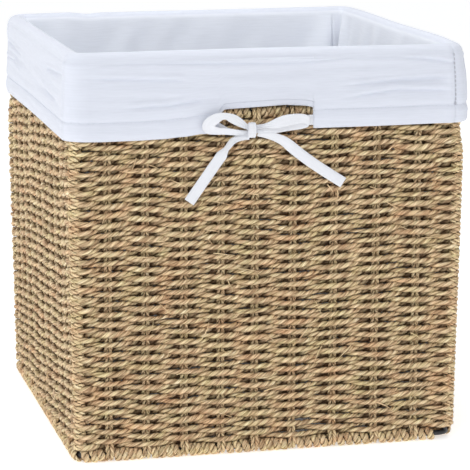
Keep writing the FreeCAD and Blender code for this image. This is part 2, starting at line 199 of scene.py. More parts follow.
# ---- places read from the frame ----
RIM_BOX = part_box("top_rim_wire")
MID = RIM_BOX[1].x - WIRE / 2                     # middle of the wall
TOP_Z = RIM_BOX[1].z - WIRE / 2
BOTTOM_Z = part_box("bottom_rim_wire")[0].z + WIRE / 2
WALL_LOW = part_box("weave_left")[0].z
WALL_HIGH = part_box("weave_left")[1].z
HOLE_LOW, HOLE_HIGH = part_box("hand_hole_wire_front")
HOLE_LEFT = HOLE_LOW.x + WIRE / 2
HOLE_RIGHT = HOLE_HIGH.x - WIRE / 2
HOLE_BAR = HOLE_LOW.z + WIRE / 2
WRAP_R = HOLE_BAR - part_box("hand_hole_wrap_front")[0].z
STRAIGHT = MID - RIM_BEND
CORNER_RUN = RIM_BEND * math.pi / 2
SIDE_RUN = 2 * STRAIGHT + CORNER_RUN              # one side and one corner, along the wall's middle
PERIMETER = 4 * SIDE_RUN
HEM_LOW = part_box("drawstring_tape")[0].z - 0.003
BASE_LOW, BASE_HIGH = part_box("base_weave")
BAG_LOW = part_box("liner_base_panel")[0].z + 0.0007


def stake_places(node, axis):
    """The places of a node's separate stakes along one axis."""
    values = np.sort(np.array([v.co[axis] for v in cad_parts[node].data.vertices]))
    groups = np.split(values, np.flatnonzero(np.diff(values) > STAKE_APART) + 1)
    return [float(g.min() + g.max()) / 2 for g in groups]


FRONT_STAKES = stake_places("stakes_front", 0)
RIGHT_STAKES = stake_places("stakes_right", 1)
BASE_STAKES = stake_places("base_stakes", 0)


# ---- the ring that the walls, rims and liner follow ----
def ring(s, z, out=0.0):
    """Points and outward directions at distances s along the wall's middle, from the front's middle.

    z is the height of the points, and out is how far they stand outside the wall's middle.
    """
    s = np.asarray(s, float) % PERIMETER
    side = np.floor((s + STRAIGHT) / SIDE_RUN).astype(int) % 4
    local = (s + STRAIGHT) % SIDE_RUN - STRAIGHT
    bend = np.clip((local - STRAIGHT) / RIM_BEND, 0, math.pi / 2)
    x = np.where(local < STRAIGHT, local, STRAIGHT + RIM_BEND * np.sin(bend))
    y = np.where(local < STRAIGHT, -MID, -STRAIGHT - RIM_BEND * np.cos(bend))
    nx, ny = np.sin(bend), -np.cos(bend)
    turn = side * math.pi / 2
    cos, sin = np.cos(turn), np.sin(turn)
    normal = np.stack([nx * cos - ny * sin, nx * sin + ny * cos, 0 * s], -1)
    point = np.stack([x * cos - y * sin, x * sin + y * cos, z + 0 * s], -1)
    return point + normal * np.asarray(out)[..., None], normal


def ring_stakes():
    """Distances along the ring of every stake and corner post, in order, from the front left corner on."""
    places = []
    per_side = (FRONT_STAKES, RIGHT_STAKES, [-x for x in FRONT_STAKES], RIGHT_STAKES)
    for number, offsets in enumerate(per_side):
        places.append(number * SIDE_RUN - STRAIGHT - CORNER_RUN / 2)
        places.extend(number * SIDE_RUN + x for x in sorted(offsets))
    return np.array(places)


def near_corner(s, reach):
    """1 at each corner of the ring, falling away smoothly over this reach."""
    gap = np.abs((s + SIDE_RUN) % SIDE_RUN - SIDE_RUN / 2)
    return np.exp(-((gap / reach) ** 2))


def from_front(s):
    """The same places on the ring, counted either way from the front's middle."""
    return (s + PERIMETER / 2) % PERIMETER - PERIMETER / 2


def waves(rng, s, count, strength, period=PERIMETER):
    """A smooth random curve that closes on itself."""
    total = np.zeros_like(s)
    for k in range(1, count + 1):
        total += rng.normal() * np.sin(2 * math.pi * k * s / period + rng.uniform(0, 2 * math.pi))
    return total * strength / math.sqrt(count / 2)


STAKE_RING = ring_stakes()


# ---- mesh building ----
class Bundle:
    """Gathers tubes and sheets of quads, then makes them one mesh."""

    def __init__(self):
        self.points = []
        self.fibres = []
        self.opens = []
        self.quads = []
        self.count = 0

    def grid(self, points, fibre, wrap_columns=False, caps=False, openness=None):
        """points and fibre are (rows, columns, 3). Quads join neighbours.

        openness is 1 where a point stands in the open, down to 0 deep in a gap. Seagrass is painted darker by
        it, as painted shade; on the liner, 0 marks the bag's inside, painted lighter as painted light.
        """
        rows, columns = points.shape[:2]
        index = np.arange(rows * columns).reshape(rows, columns) + self.count
        if wrap_columns:
            index = np.concatenate([index, index[:, :1]], 1)
        quads = np.stack([index[:-1, :-1], index[:-1, 1:], index[1:, 1:], index[1:, :-1]], -1)
        self.quads.append(quads.reshape(-1, 4))
        if caps:
            for row, step in ((index[0], -1), (index[-1], 1)):
                for k in range(1, columns - 2, 2):
                    self.quads.append(row[[0, k, k + 1, k + 2]][::step][None])
        self.points.append(points.reshape(-1, 3))
        self.fibres.append(fibre.reshape(-1, 3))
        self.opens.append(np.ones(rows * columns) if openness is None else openness.ravel())
        self.count += rows * columns

    def object(self, name, material):
        points = np.concatenate(self.points)
        quads = np.concatenate(self.quads)
        mesh = bpy.data.meshes.new(name)
        mesh.vertices.add(len(points))
        mesh.vertices.foreach_set("co", points.ravel())
        mesh.loops.add(quads.size)
        mesh.loops.foreach_set("vertex_index", quads.ravel().astype(np.int32))
        mesh.polygons.add(len(quads))
        mesh.polygons.foreach_set("loop_start", np.arange(len(quads), dtype=np.int32) * 4)
        mesh.polygons.foreach_set("use_smooth", np.full(len(quads), True))
        mesh.update(calc_edges=True)
        fibre = mesh.attributes.new("fibre", "FLOAT_VECTOR", "POINT")
        fibre.data.foreach_set("vector", np.concatenate(self.fibres).ravel())
        openness = mesh.attributes.new("openness", "FLOAT", "POINT")
        openness.data.foreach_set("value", np.concatenate(self.opens))
        mesh.materials.append(material)
        piece = bpy.data.objects.new(name, mesh)
        bpy.context.scene.collection.objects.link(piece)
        return piece


def smoothstep(value):
    value = np.clip(value, 0, 1)
    return value * value * (3 - 2 * value)


def unit(v):
    return v / np.maximum(np.linalg.norm(v, axis=-1, keepdims=True), 1e-12)


def along(line):
    """Tangents and distances of a line of points."""
    steps = np.linalg.norm(np.diff(line, axis=0), axis=1)
    return unit(np.gradient(line, axis=0)), np.concatenate([[0], np.cumsum(steps)])


def square_to(tangent, direction):
    """The part of a direction that is square to the tangent, at full length."""
    return unit(direction - tangent * (direction * tangent).sum(-1, keepdims=True))


def fibre_places(points, lengthwise, crosswise, through):
    """Where each point lies in the material's own pattern: along its fibres, across and through."""
    places = np.empty_like(points)
    for axis, value in enumerate((lengthwise, crosswise, through)):
        places[..., axis] = value
    return places


def resampled(line, step):
    """The same line with even steps."""
    _, distance = along(line)
    count = max(4, int(round(distance[-1] / step)) + 1)
    even = np.linspace(0, distance[-1], count)
    return np.stack([np.interp(even, distance, line[:, k]) for k in range(3)], -1)


def smoothed(points, per_span):
    """A smooth line through given points."""
    p = np.asarray(points, float)
    p = np.concatenate([2 * p[:1] - p[1:2], p, 2 * p[-1:] - p[-2:-1]])
    out = []
    for a, b, c, d in zip(p, p[1:], p[2:], p[3:]):
        t = np.linspace(0, 1, per_span, endpoint=False)[:, None]
        out.append(0.5 * (2 * b + (c - a) * t + (2 * a - 5 * b + 4 * c - d) * t**2
                          + (3 * b - a - 3 * c + d) * t**3))
    out.append(p[-2:-1])
    return np.concatenate(out)


def belly(z):
    """The hand-woven walls swell outward a little, most of all below the cuff."""
    return BELLY * smoothstep(z / 0.24) * smoothstep((WALL_HIGH - z) / 0.045)


def corner_out(z):
    """How far the corners stand outside the wire frame, below the cuff."""
    return CORNER_OUT * (0.4 + z / WALL_HIGH) * smoothstep((HEM_LOW - z) / BELOW_CUFF)


def wall_openness(points, middle, high, swell):
    """How open a point on a course stands, as the mask for painted shade: dark in the wall's far half, and
    where courses press together, with a painted shadow on the course's lower side.

    middle, high and swell are the course's height, its rope's half height, and how far the wall's
    middle stands outside the frame there.
    """
    past = np.maximum(np.abs(points[..., :2]) - STRAIGHT, 0)
    out = np.hypot(past[..., 0], past[..., 1]) - RIM_BEND - swell[:, None]
    facing = np.tanh((out - out.mean(-1, keepdims=True)) / FACING_SOFT)
    drop = (middle[:, None] - points[..., 2]) / high[:, None]
    # Painted shadow under the course, and painted shade on its upper side.
    pressed = (1 - UNDER_SHADE * smoothstep((drop - 0.15) / 0.7)
               - UPPER_SHADE * smoothstep((-drop - 0.5) / 0.5))
    return smoothstep((facing * out + GAP_START) / GAP_DEPTH) * pressed


def two_plies(rng, line, outward, deep, high, twist, openness):
    """A rope of two plies laid round each other, as two grids of points, fibre places and openness.

    deep and high are the rope's half sizes outward and across it, one for each point of the line.
    openness is a function of the points.
    """
    tangent, distance = along(line)
    normal = square_to(tangent, outward)
    cross = np.cross(tangent, normal)
    theta = np.arange(PLY_SIDES) * 2 * math.pi / PLY_SIDES
    start = rng.uniform(0, 40)
    plies = []
    for ply in range(2):
        phi = twist + ply * math.pi
        radial = np.stack([np.cos(phi), np.sin(phi)], -1)[:, None]
        around = np.stack([-np.sin(phi), np.cos(phi)], -1)[:, None]
        section = (PLY_MIDDLE + (1 - PLY_MIDDLE) * np.cos(theta)[None, :, None]) * radial
        section = section + PLY_WIDE * np.sin(theta)[None, :, None] * around
        points = (line[:, None] + section[..., :1] * deep[:, None, None] * normal[:, None]
                  + section[..., 1:] * high[:, None, None] * cross[:, None])
        points[..., 2] = np.maximum(points[..., 2], 0.0001)
        fibre = fibre_places(points, distance[:, None] + start + 3.7 * ply,
                             FIBRE_RADIUS * np.cos(theta), FIBRE_RADIUS * np.sin(theta))
        # Painted shade in the groove where the two plies press together.
        groove = 1 + GROOVE_SHADE * np.minimum(np.cos(theta), 0)
        plies.append((points, fibre, openness(points) * groove))
    return plies


def evenly_open(value):
    """The same openness all over a rope."""
    return lambda points: np.full(points.shape[:-1], value)


def add_rope(bundle, plies, rows=slice(None)):
    """Both plies, or some rows of them, with closed ends."""
    for points, fibre, openness in plies:
        bundle.grid(points[rows], fibre[rows], True, True, openness[rows])


def place(piece, body, slot, *nodes):
    """The piece rides on a body and stands for the nodes, which are hidden. slot is not used."""
    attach(piece, body)
    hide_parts(*nodes)
    return piece


# ---- the camera, at the photograph's angle ----
def make_camera():
    """A long lens from the front left, a little above the basket."""
    azimuth, elevation, roll = (math.radians(angle) for angle in CAMERA_ANGLES)
    back = Vector((math.sin(azimuth) * math.cos(elevation),
                   -math.cos(azimuth) * math.cos(elevation), math.sin(elevation)))
    data = bpy.data.cameras.new("camera")
    data.sensor_width = 36
    data.lens = CAMERA_LENS
    camera = bpy.data.objects.new("camera", data)
    camera.location = Vector(CAMERA_TARGET) + back * CAMERA_DISTANCE
    look = (-back).to_track_quat("-Z", "Y")
    camera.rotation_mode = "QUATERNION"
    camera.rotation_quaternion = look @ Quaternion((0, 0, 1), roll)
    bpy.context.scene.collection.objects.link(camera)
    bpy.context.scene.camera = camera


# ---- materials ----
class Finish:
    """A material, with short ways to add the nodes that colour it."""

    def __init__(self, name, roughness):
        self.material = bpy.data.materials.new(name)
        self.material.use_nodes = True
        self.nodes = self.material.node_tree.nodes
        self.link = self.material.node_tree.links.new
        self.shader = self.nodes["Principled BSDF"]
        self.shader.inputs["Roughness"].default_value = roughness

    def attribute(self, name, output):
        """A value or vector that Bundle keeps at each point."""
        attribute = self.nodes.new("ShaderNodeAttribute")
        attribute.attribute_name = name
        return attribute.outputs[output]

    def place_in_object(self):
        return self.nodes.new("ShaderNodeTexCoord").outputs["Object"]

    def noise(self, vector, scale, stretch=(1, 1, 1), detail=3.0):
        """A noise value over stretched coordinates."""
        mapping = self.nodes.new("ShaderNodeMapping")
        mapping.inputs["Scale"].default_value = stretch
        noise = self.nodes.new("ShaderNodeTexNoise")
        noise.inputs["Scale"].default_value = scale
        noise.inputs["Detail"].default_value = detail
        self.link(vector, mapping.inputs["Vector"])
        self.link(mapping.outputs["Vector"], noise.inputs["Vector"])
        return noise.outputs["Fac"]

    def threads(self, vector, direction, scale):
        """Stripes like the threads that run one way through a cloth."""
        wave = self.nodes.new("ShaderNodeTexWave")
        wave.bands_direction = direction
        wave.inputs["Scale"].default_value = scale
        wave.inputs["Distortion"].default_value = 1.5
        wave.inputs["Detail"].default_value = 1
        self.link(vector, wave.inputs["Vector"])
        return wave.outputs["Color"]

    def ramp(self, value, *stops):
        """Colours picked by a value. Stops are (place, (r, g, b))."""
        ramp = self.nodes.new("ShaderNodeValToRGB")
        elements = ramp.color_ramp.elements
        for element, (position, colour) in zip(elements, (stops[0], stops[-1])):
            element.position = position
            element.color = (*colour, 1)
        for position, colour in stops[1:-1]:
            elements.new(position).color = (*colour, 1)
        self.link(value, ramp.inputs["Fac"])
        return ramp.outputs["Color"]

    def mix(self, blend, strength, base, over):
        """One colour laid over another. A colour mix has its factor and colours in inputs 0, 6 and 7."""
        mix = self.nodes.new("ShaderNodeMix")
        mix.data_type = "RGBA"
        mix.blend_type = blend
        mix.inputs[0].default_value = strength
        self.link(base, mix.inputs[6])
        self.link(over, mix.inputs[7])
        return mix.outputs[2]

    def bump(self, height, distance, strength):
        bump = self.nodes.new("ShaderNodeBump")
        bump.inputs["Distance"].default_value = distance
        bump.inputs["Strength"].default_value = strength
        self.link(height, bump.inputs["Height"])
        self.link(bump.outputs["Normal"], self.shader.inputs["Normal"])

    def paint(self, colour):
        """Takes a colour as the surface's own, and gives back the finished material."""
        self.link(colour, self.shader.inputs["Base Color"])
        return self.material


def seagrass(name, tone):
    """Dry seagrass: streaks along the blades, with straw, olive and reddish stretches. It is painted darker
    by openness, as painted shade in the gaps; a tone above the weft's is painted light on parts that sit in
    shade.
    """
    finish = Finish(name, 0.62)
    fibre = finish.attribute("fibre", "Vector")
    blades = finish.noise(fibre, 60, (1, 6, 6), 3)
    colour = finish.ramp(blades, (0.28, (0.36, 0.235, 0.125)), (0.40, (0.62, 0.44, 0.26)),
                         (0.50, (0.80, 0.62, 0.39)), (0.60, (0.73, 0.59, 0.34)), (0.74, (0.98, 0.83, 0.60)))
    patches = finish.noise(finish.place_in_object(), 32, (1, 1, 2.8), 2)
    tint = finish.ramp(patches, (0.32, (0.95, 0.98, 0.87)), (0.5, WHITE), (0.70, (0.98, 0.83, 0.76)))
    colour = finish.mix("MULTIPLY", 0.9, colour, tint)
    streak = finish.noise(fibre, 1, (120, 1300, 1300), 4)
    shade = finish.ramp(streak, (0.34, (0.58, 0.52, 0.45)), (0.6, (tone, tone, tone)))
    colour = finish.mix("MULTIPLY", 1.0, colour, shade)
    # Painted shade: darker where openness is low.
    gaps = finish.ramp(finish.attribute("openness", "Fac"), (0.05, GAP_PAINTED_SHADE_TONE), (0.9, WHITE))
    finish.bump(streak, 0.0006, 0.7)
    return finish.paint(finish.mix("MULTIPLY", 1.0, colour, gaps))


def woven_cloth(name, colour, inner, thread, strength):
    """Plain woven cotton with a fine thread texture and a soft sheen.

    inner is its colour where openness is 0, on the inside of the bag; the bag's lighter colour there is
    painted light, standing in for light inside the bag.
    """
    finish = Finish(name, 0.9)
    finish.shader.inputs["Sheen Weight"].default_value = 0.25
    finish.shader.inputs["Sheen Roughness"].default_value = 0.5
    fibre = finish.attribute("fibre", "Vector")
    weave = finish.mix("MULTIPLY", 1.0, *(finish.threads(fibre, way, thread) for way in ("X", "Y")))
    slub = finish.noise(fibre, 1, (60, 900, 0), 3)
    shade = finish.ramp(slub, (0.3, (0.955, 0.955, 0.955)), (0.62, WHITE))
    tone = finish.ramp(finish.attribute("openness", "Fac"), (0.0, inner), (1.0, colour))
    finish.bump(finish.mix("ADD", 0.5, weave, slub), 0.0003, strength)
    return finish.paint(finish.mix("MULTIPLY", 1.0, tone, shade))


def coated_wire():
    finish = Finish("coated_wire", 0.38)
    grain = finish.noise(finish.place_in_object(), 900, detail=2)
    finish.bump(grain, 0.0002, 0.3)
    return finish.paint(finish.ramp(grain, (0.3, (0.010, 0.010, 0.012)), (0.7, (0.024, 0.024, 0.027))))


def floor_material():
    finish = Finish("pale_floor", 0.8)
    finish.shader.inputs["Emission Color"].default_value = (1, 1, 1, 1)
    finish.shader.inputs["Emission Strength"].default_value = FLOOR_GLOW
    mottle = finish.noise(finish.place_in_object(), 3)
    return finish.paint(finish.ramp(mottle, (0.3, (0.93, 0.93, 0.93)), (0.7, (0.96, 0.96, 0.96))))


# ---- the woven walls ----
def course_swing(s, course):
    """How far a course stands outside the wall's middle: out and in past alternate stakes."""
    places = np.append(STAKE_RING, STAKE_RING[0] + PERIMETER)
    number = np.searchsorted(places, s, side="right") - 1
    number = np.clip(number, 0, len(STAKE_RING) - 1)
    part = (s - places[number]) / (places[number + 1] - places[number])
    side = np.where((number + course) % 2 == 0, 1.0, -1.0)
    return side * np.tanh(SWING_SHAPE * np.cos(math.pi * part)) / math.tanh(SWING_SHAPE)


class CourseSway:
    """Shared rise and fall of neighbouring courses, so that they wander without crossing."""

    def __init__(self, rng, count):
        self.waves = [(rng.integers(2, 26), rng.uniform(0, 6.3), rng.normal() * 0.10, rng.normal())
                      for _ in range(count)]
        self.scale = 1 / math.sqrt(count / 2)

    def at(self, s, course):
        total = 0 * s
        for cycles, phase, drift, strength in self.waves:
            total += strength * np.sin(2 * math.pi * cycles * s / PERIMETER + phase + drift * course)
        return total * self.scale


def hole_rows(s, side, z):
    """Rows of a side's course, in one run or in two where the hand hole cuts it, and the cut ends."""
    first = side * ROWS_PER_SIDE
    last = first + ROWS_PER_SIDE
    if side in (1, 3) or z < HOLE_BAR - WRAP_R + COURSE / 3:
        return [slice(first, last + 1)], ()
    middle = side * SIDE_RUN
    edges = (HOLE_LEFT, HOLE_RIGHT) if side == 0 else (-HOLE_RIGHT, -HOLE_LEFT)
    before = int(np.searchsorted(s, middle + edges[0]))
    after = int(np.searchsorted(s, middle + edges[1]))
    return [slice(first, before + 1), slice(after, last + 1)], (middle + edges[0], middle + edges[1])


def course_plies(rng, sway, s, course, count, z, ends):
    """One course of rope, all the way round. ends are the places where the hand holes cut it."""
    swing = course_swing(s, course)
    fade = min(1.0, course / 3, (count - 1 - course) / 3)
    height = z + fade * (COURSE_SWAY * sway.at(s, course) + COURSE_JITTER * waves(rng, s, 40, 1.0))
    thick = 1 + waves(rng, s, 30, ROPE_UNEVEN)
    high = thick * (ROPE_LOW + (ROPE_HIGH - ROPE_LOW) * swing**2) / 2
    high = high * (1 + BACK_SPREAD * np.maximum(-swing, 0))
    deep = (2 - thick) * ROPE_DEEP / 2
    turns = round(PERIMETER / ROPE_LAY)
    twist = -2 * math.pi * turns * s / PERIMETER + waves(rng, s, 18, 0.8) + rng.uniform(0, 6.3)
    at_corner = near_corner(s, CORNER_SPREAD)
    bare = at_corner * smoothstep((HEM_LOW - z) / BELOW_CUFF)
    reach = WEAVE_REACH + (CORNER_REACH - WEAVE_REACH) * bare
    for end in ends:
        reach = reach * np.clip(np.abs(s - end) / HOLE_EASE, 0, 1) ** 0.7
    swell = belly(z) + corner_out(z) * at_corner
    line, outward = ring(s, height, reach * swing + swell)
    return two_plies(rng, line, outward, deep, high, twist,
                     lambda points: wall_openness(points, height, high, swell))


def make_walls(material):
    """Closed ring courses, cut at the corners into one lower and one upper piece for each side."""
    rng = np.random.default_rng(SEEDS["walls"])
    sway = CourseSway(rng, 14)
    count = int(round((WALL_HIGH - WALL_LOW) / COURSE))
    rise = (WALL_HIGH - WALL_LOW) / count
    s = np.linspace(0, PERIMETER, 4 * ROWS_PER_SIDE + 1) - SIDE_RUN / 2
    bundles = {}
    for course in range(count):
        z = WALL_LOW + (course + 0.5) * rise
        runs = [hole_rows(s, side, z) for side in range(4)]
        plies = course_plies(rng, sway, s, course, count, z, [end for _, ends in runs for end in ends])
        band = "lower" if course < count / 2 else "upper"
        for side, (slices, _) in enumerate(runs):
            bundle = bundles.setdefault((side, band), Bundle())
            for chosen in slices:
                add_rope(bundle, plies, chosen)
    for (side, band), bundle in bundles.items():
        loose_ends(bundle, rng, side, band)
        piece = bundle.object(f"weave_{SIDES[side]}_{band}_ropes", material)
        place(piece, BASKET, "seagrass_weft", f"weave_{SIDES[side]}")


def loose_ends(bundle, rng, side, band):
    """Short straws that stand out of the rope."""
    middle = (WALL_LOW + WALL_HIGH) / 2
    low, high = (WALL_LOW, middle) if band == "lower" else (middle, HEM_LOW - 0.01)
    for _ in range(LOOSE_ENDS):
        s = side * SIDE_RUN + rng.uniform(-STRAIGHT, STRAIGHT)
        z = rng.uniform(low, high)
        length = rng.uniform(*STRAW_LENGTH)
        lean = rng.normal(0, 0.55) + (math.pi if rng.random() < 0.5 else 0)
        bow = rng.normal(0, 0.35)
        t = np.linspace(0, 1, 6)
        angle = lean + bow * t
        step = length / 5
        run = s + np.cumsum(np.cos(angle)) * step
        out = STRAW_OUT + belly(z) + (0.0008 + 0.0018 * rng.random()) * np.sin(2.4 * t)
        line, outward = ring(run, z + np.cumsum(np.sin(angle)) * step, out)
        tangent, distance = along(line)
        across = np.cross(tangent, outward)
        width = rng.uniform(*STRAW_HALF_WIDE) * (1 - 0.8 * t**2)
        theta = np.arange(4) * math.pi / 2
        section = (np.cos(theta)[None, :, None] * across[:, None]
                   + 0.5 * np.sin(theta)[None, :, None] * outward[:, None])
        points = line[:, None] + section * width[:, None, None]
        fibre = fibre_places(points, distance[:, None] + rng.uniform(0, 40),
                             0.0004 * np.cos(theta), 0.0004 * np.sin(theta))
        bundle.grid(points, fibre, True, True)


# ---- cord wound round the wires ----
def wound_cord(bundle, rng, centre, outward, turns, radius, wide, deep):
    """A two-ply cord wound round a wire. turns gives how far round it is at each centre point."""
    tangent, _ = along(centre)
    normal = square_to(tangent, outward)
    cross = np.cross(tangent, normal)
    angle = 2 * math.pi * turns + math.pi
    away = np.cos(angle)[:, None] * normal + np.sin(angle)[:, None] * cross
    line = centre + radius * away
    _, distance = along(line)
    twist = 2 * math.pi * distance / WOUND_LAY + rng.uniform(0, 6.3)
    half = np.ones(len(line))

    # Painted shade: the cord is darker towards the wire, in the gaps between its turns.
    def openness(points):
        reach = np.linalg.norm(points - centre[:, None], axis=-1)
        return smoothstep((reach - radius + deep / 2) / (0.7 * deep))

    add_rope(bundle, two_plies(rng, line, away, deep / 2 * half, wide / 2 * half, twist, openness))


def winding(start, end, gaps, pitch):
    """Distances and turns of a winding that crosses behind each gap without going round."""
    places, turns = [start], [0.0]
    for low, high in gaps + [(end, end)]:
        whole = max(1, round((low - places[-1]) / pitch))
        turns.append(turns[-1] + whole)
        places.append(low)
        if high > low:
            turns.append(turns[-1])
            places.append(high)
    count = int(turns[-1] * WOUND_ROWS + len(gaps) * GAP_ROWS)
    # Even steps of winding and of distance together keep the rows evenly spaced along the cord.
    spread = np.linspace(0, 1, 40 * count)
    s = start + (end - start) * spread
    t = np.interp(s, places, turns)
    effort = t / turns[-1] + spread * 0.15
    even = np.linspace(effort[0], effort[-1], count)
    s_even = np.interp(even, effort, s)
    return s_even, np.interp(s_even, places, turns)


def rim_cord(material, name, node, z, bare):
    """The cord round a rim wire, in one piece. It crosses on the inner side where a stake hooks on."""
    rng = np.random.default_rng(SEEDS["bottom rim" if bare else "top rim"])
    gaps = []
    for number, place_on_ring in enumerate(STAKE_RING[1:], 1):
        before = after = HOOK_GAP / 2
        if number % SPACES == 0:
            before = after = WIRE / 2
        if bare and number == SPACES:
            before, after = BARE_RUN, BARE_RUN / 2
        gaps.append((place_on_ring - before, place_on_ring + after))
    start = STAKE_RING[0] + 0.001
    s, turns = winding(start, start + PERIMETER - 0.002, gaps, WRAP_PITCH)
    centre, outward = ring(s, z)
    bundle = Bundle()
    wound_cord(bundle, rng, centre, outward, turns, WRAP_RADIUS, WRAP_WIDE, WRAP_DEEP)
    place(bundle.object(name, material), BASKET, "seagrass_wrap", node)


def hole_cord(material, side):
    """The cord round one hand hole wire: down one leg, along the bar and up the other leg."""
    rng = np.random.default_rng(SEEDS["hand holes"] + side)
    top = TOP_Z - WRAP_R
    turn = np.linspace(0, math.pi / 2, 9)
    left_bend = [(HOLE_LEFT + HOLE_BEND * (1 - math.cos(a)), HOLE_BAR + HOLE_BEND * (1 - math.sin(a)))
                 for a in turn]
    right_bend = [(HOLE_RIGHT - HOLE_BEND * (1 - math.sin(a)), HOLE_BAR + HOLE_BEND * (1 - math.cos(a)))
                  for a in turn]
    flat = np.array([(HOLE_LEFT, top), *left_bend, *right_bend, (HOLE_RIGHT, top)])
    sign = 1 if side == 0 else -1
    path = np.stack([flat[:, 0], np.full(len(flat), -sign * MID), flat[:, 1]], -1)
    path = resampled(path, 0.0004)
    _, distance = along(path)
    leg = (top - HOLE_BAR - HOLE_BEND) + HOLE_BEND * math.pi / 2
    hooks = [leg + x - HOLE_LEFT - HOLE_BEND for x in FRONT_STAKES if HOLE_LEFT < x < HOLE_RIGHT]
    gaps = [(hook - HOOK_GAP / 2, hook + HOOK_GAP / 2) for hook in hooks]
    d, turns = winding(0, distance[-1], gaps, WRAP_PITCH)
    centre = np.stack([np.interp(d, distance, path[:, k]) for k in range(3)], -1)
    outward = np.zeros_like(centre)
    outward[:, 1] = -sign
    bundle = Bundle()
    wound_cord(bundle, rng, centre, outward, sign * turns, WRAP_RADIUS, WRAP_WIDE, WRAP_DEEP)
    node = f"hand_hole_wrap_{SIDES[side]}"
    place(bundle.object(f"hole_cord_{SIDES[side]}", material), BASKET, "seagrass_wrap", node)


def post_cords(material):
    """A finer cord wound round each corner post, between the rims."""
    corners = ("front_left", "front_right", "back_right", "back_left")
    for number, corner in enumerate(corners):
        rng = np.random.default_rng(SEEDS["posts"] + number)
        s = (number - 0.5) * SIDE_RUN
        z, turns = winding(BOTTOM_Z + WRAP_R, TOP_Z - WRAP_R, [], POST_PITCH)
        centre, outward = ring(np.full(len(z), s), z, belly(z) + corner_out(z) + POST_OUT)
        bundle = Bundle()
        wound_cord(bundle, rng, centre, outward, turns, POST_RADIUS, POST_WIDE, POST_DEEP)
        piece = bundle.object(f"post_cord_{corner}", material)
        place(piece, BASKET, "seagrass_wrap", f"corner_wrap_{corner}")


# ---- stakes ----
def hooked_line(low, high):
    """One stake cord in its own plane, (out, z): up the wall's middle, with a hook round each wire."""
    r = HOOK_RADIUS
    bottom = [(-0.0012, low + 0.016), (-r, low + 0.004), (-r * 0.9, low - 0.0012), (0, low - LOW_HOOK),
              (r * 0.9, low - 0.0012), (r, low + 0.004), (0.0006, low + 0.014)]
    top = [(0.0006, high - 0.014), (r, high - 0.004), (r * 0.9, high + 0.0014), (0, high + r),
           (-r * 0.9, high + 0.0014), (-r, high - 0.004), (-0.0012, high - 0.016)]
    middle = [(0.0, low + (high - low) * k) for k in (0.2, 0.4, 0.6, 0.8)]
    return np.array(bottom + middle + top)


def stake_cord(bundle, rng, s, step, high):
    """One of the two cords of the stake at s: step is -1 or 1, for its side of the stake's middle."""
    flat = smoothed(hooked_line(BOTTOM_Z, high), 12)
    beside = s + step * STAKE_CORD / 2 * STAKE_SPREAD
    line, outward = ring(np.full(len(flat), beside), flat[:, 1], flat[:, 0] + belly(flat[:, 1]))
    line = resampled(line, STAKE_LAY / 5)
    _, distance = along(line)
    half = np.full(len(line), STAKE_CORD / 2)
    twist = -step * 2 * math.pi * distance / STAKE_LAY + rng.uniform(0, 6.3)
    along_wall = np.cross([0, 0, 1], outward[0])
    flat_out = np.repeat(along_wall[None], len(line), 0)
    add_rope(bundle, two_plies(rng, line, flat_out, half, half, twist, evenly_open(1.0)))


def make_stakes(material):
    """Nine doubled cords on each side, up to the rim or to the hand hole's bar."""
    for side, name in enumerate(SIDES):
        rng = np.random.default_rng(SEEDS["stakes"] + side)
        bundle = Bundle()
        for s in STAKE_RING[side * SPACES + 1:side * SPACES + SPACES]:
            local = s - side * SIDE_RUN
            x = local if side == 0 else -local
            at_hole = side in (0, 2) and HOLE_LEFT < x < HOLE_RIGHT
            for step in (-1, 1):
                stake_cord(bundle, rng, s, step, HOLE_BAR if at_hole else TOP_Z)
        place(bundle.object(f"stake_cords_{name}", material), BASKET, "seagrass_stake", f"stakes_{name}")


# ---- the woven base ----
def base_wefts(material, rng, middle):
    """Straight courses across the base, over and under its stakes."""
    inner = MID - WRAP_R - 0.0008
    count = int(round(2 * inner / BASE_COURSE))
    rise = 2 * inner / count
    rows = int(2 * inner / ROPE_LAY * 5)
    x = np.linspace(-inner, inner, rows)
    knots = np.array([-inner] + list(BASE_STAKES) + [inner])
    number = np.clip(np.searchsorted(knots, x, side="right") - 1, 0, len(knots) - 2)
    part = (x - knots[number]) / (knots[number + 1] - knots[number])
    bundle = Bundle()
    for course in range(count):
        swing = np.where((number + course) % 2 == 0, 1.0, -1.0) * np.cos(math.pi * part)
        y = np.full(rows, -inner + (course + 0.5) * rise) + waves(rng, x, 8, BASE_JITTER, 4 * inner)
        line = np.stack([x, y, middle + BASE_REACH * swing], -1)
        half = np.full(rows, BASE_ROPE / 2)
        twist = -2 * math.pi * x / ROPE_LAY + rng.uniform(0, 6.3)
        up = np.repeat([[0.0, 0.0, 1.0]], rows, 0)
        # Painted shade: the wefts are darker towards the base's middle, between its layers.
        add_rope(bundle, two_plies(rng, line, up, half * 0.9, half, twist,
                                   lambda points: smoothstep(np.abs(points[..., 2] - middle) / 0.0036)))
    place(bundle.object("base_wefts", material), BASKET, "seagrass_weft", "base_weave")


def base_stakes(material, rng, middle):
    """Doubled cords from front to back, through the middle of the base."""
    bundle = Bundle()
    y = np.linspace(-MID + 0.003, MID - 0.003, BASE_ROWS)
    half = np.full(BASE_ROWS, STAKE_CORD / 2)
    up = np.repeat([[0.0, 0.0, 1.0]], BASE_ROWS, 0)
    for stake in BASE_STAKES:
        for step in (-1, 1):
            x = np.full(BASE_ROWS, stake + step * STAKE_CORD / 2)
            line = np.stack([x, y, np.full(BASE_ROWS, middle)], -1)
            twist = 2 * math.pi * y / STAKE_LAY + rng.uniform(0, 6.3)
            # Painted shade: the base's stakes are painted half dark all over, deep in the base.
            add_rope(bundle, two_plies(rng, line, up, half, half, twist, evenly_open(0.5)))
    place(bundle.object("base_stake_cords", material), BASKET, "seagrass_stake", "base_stakes")


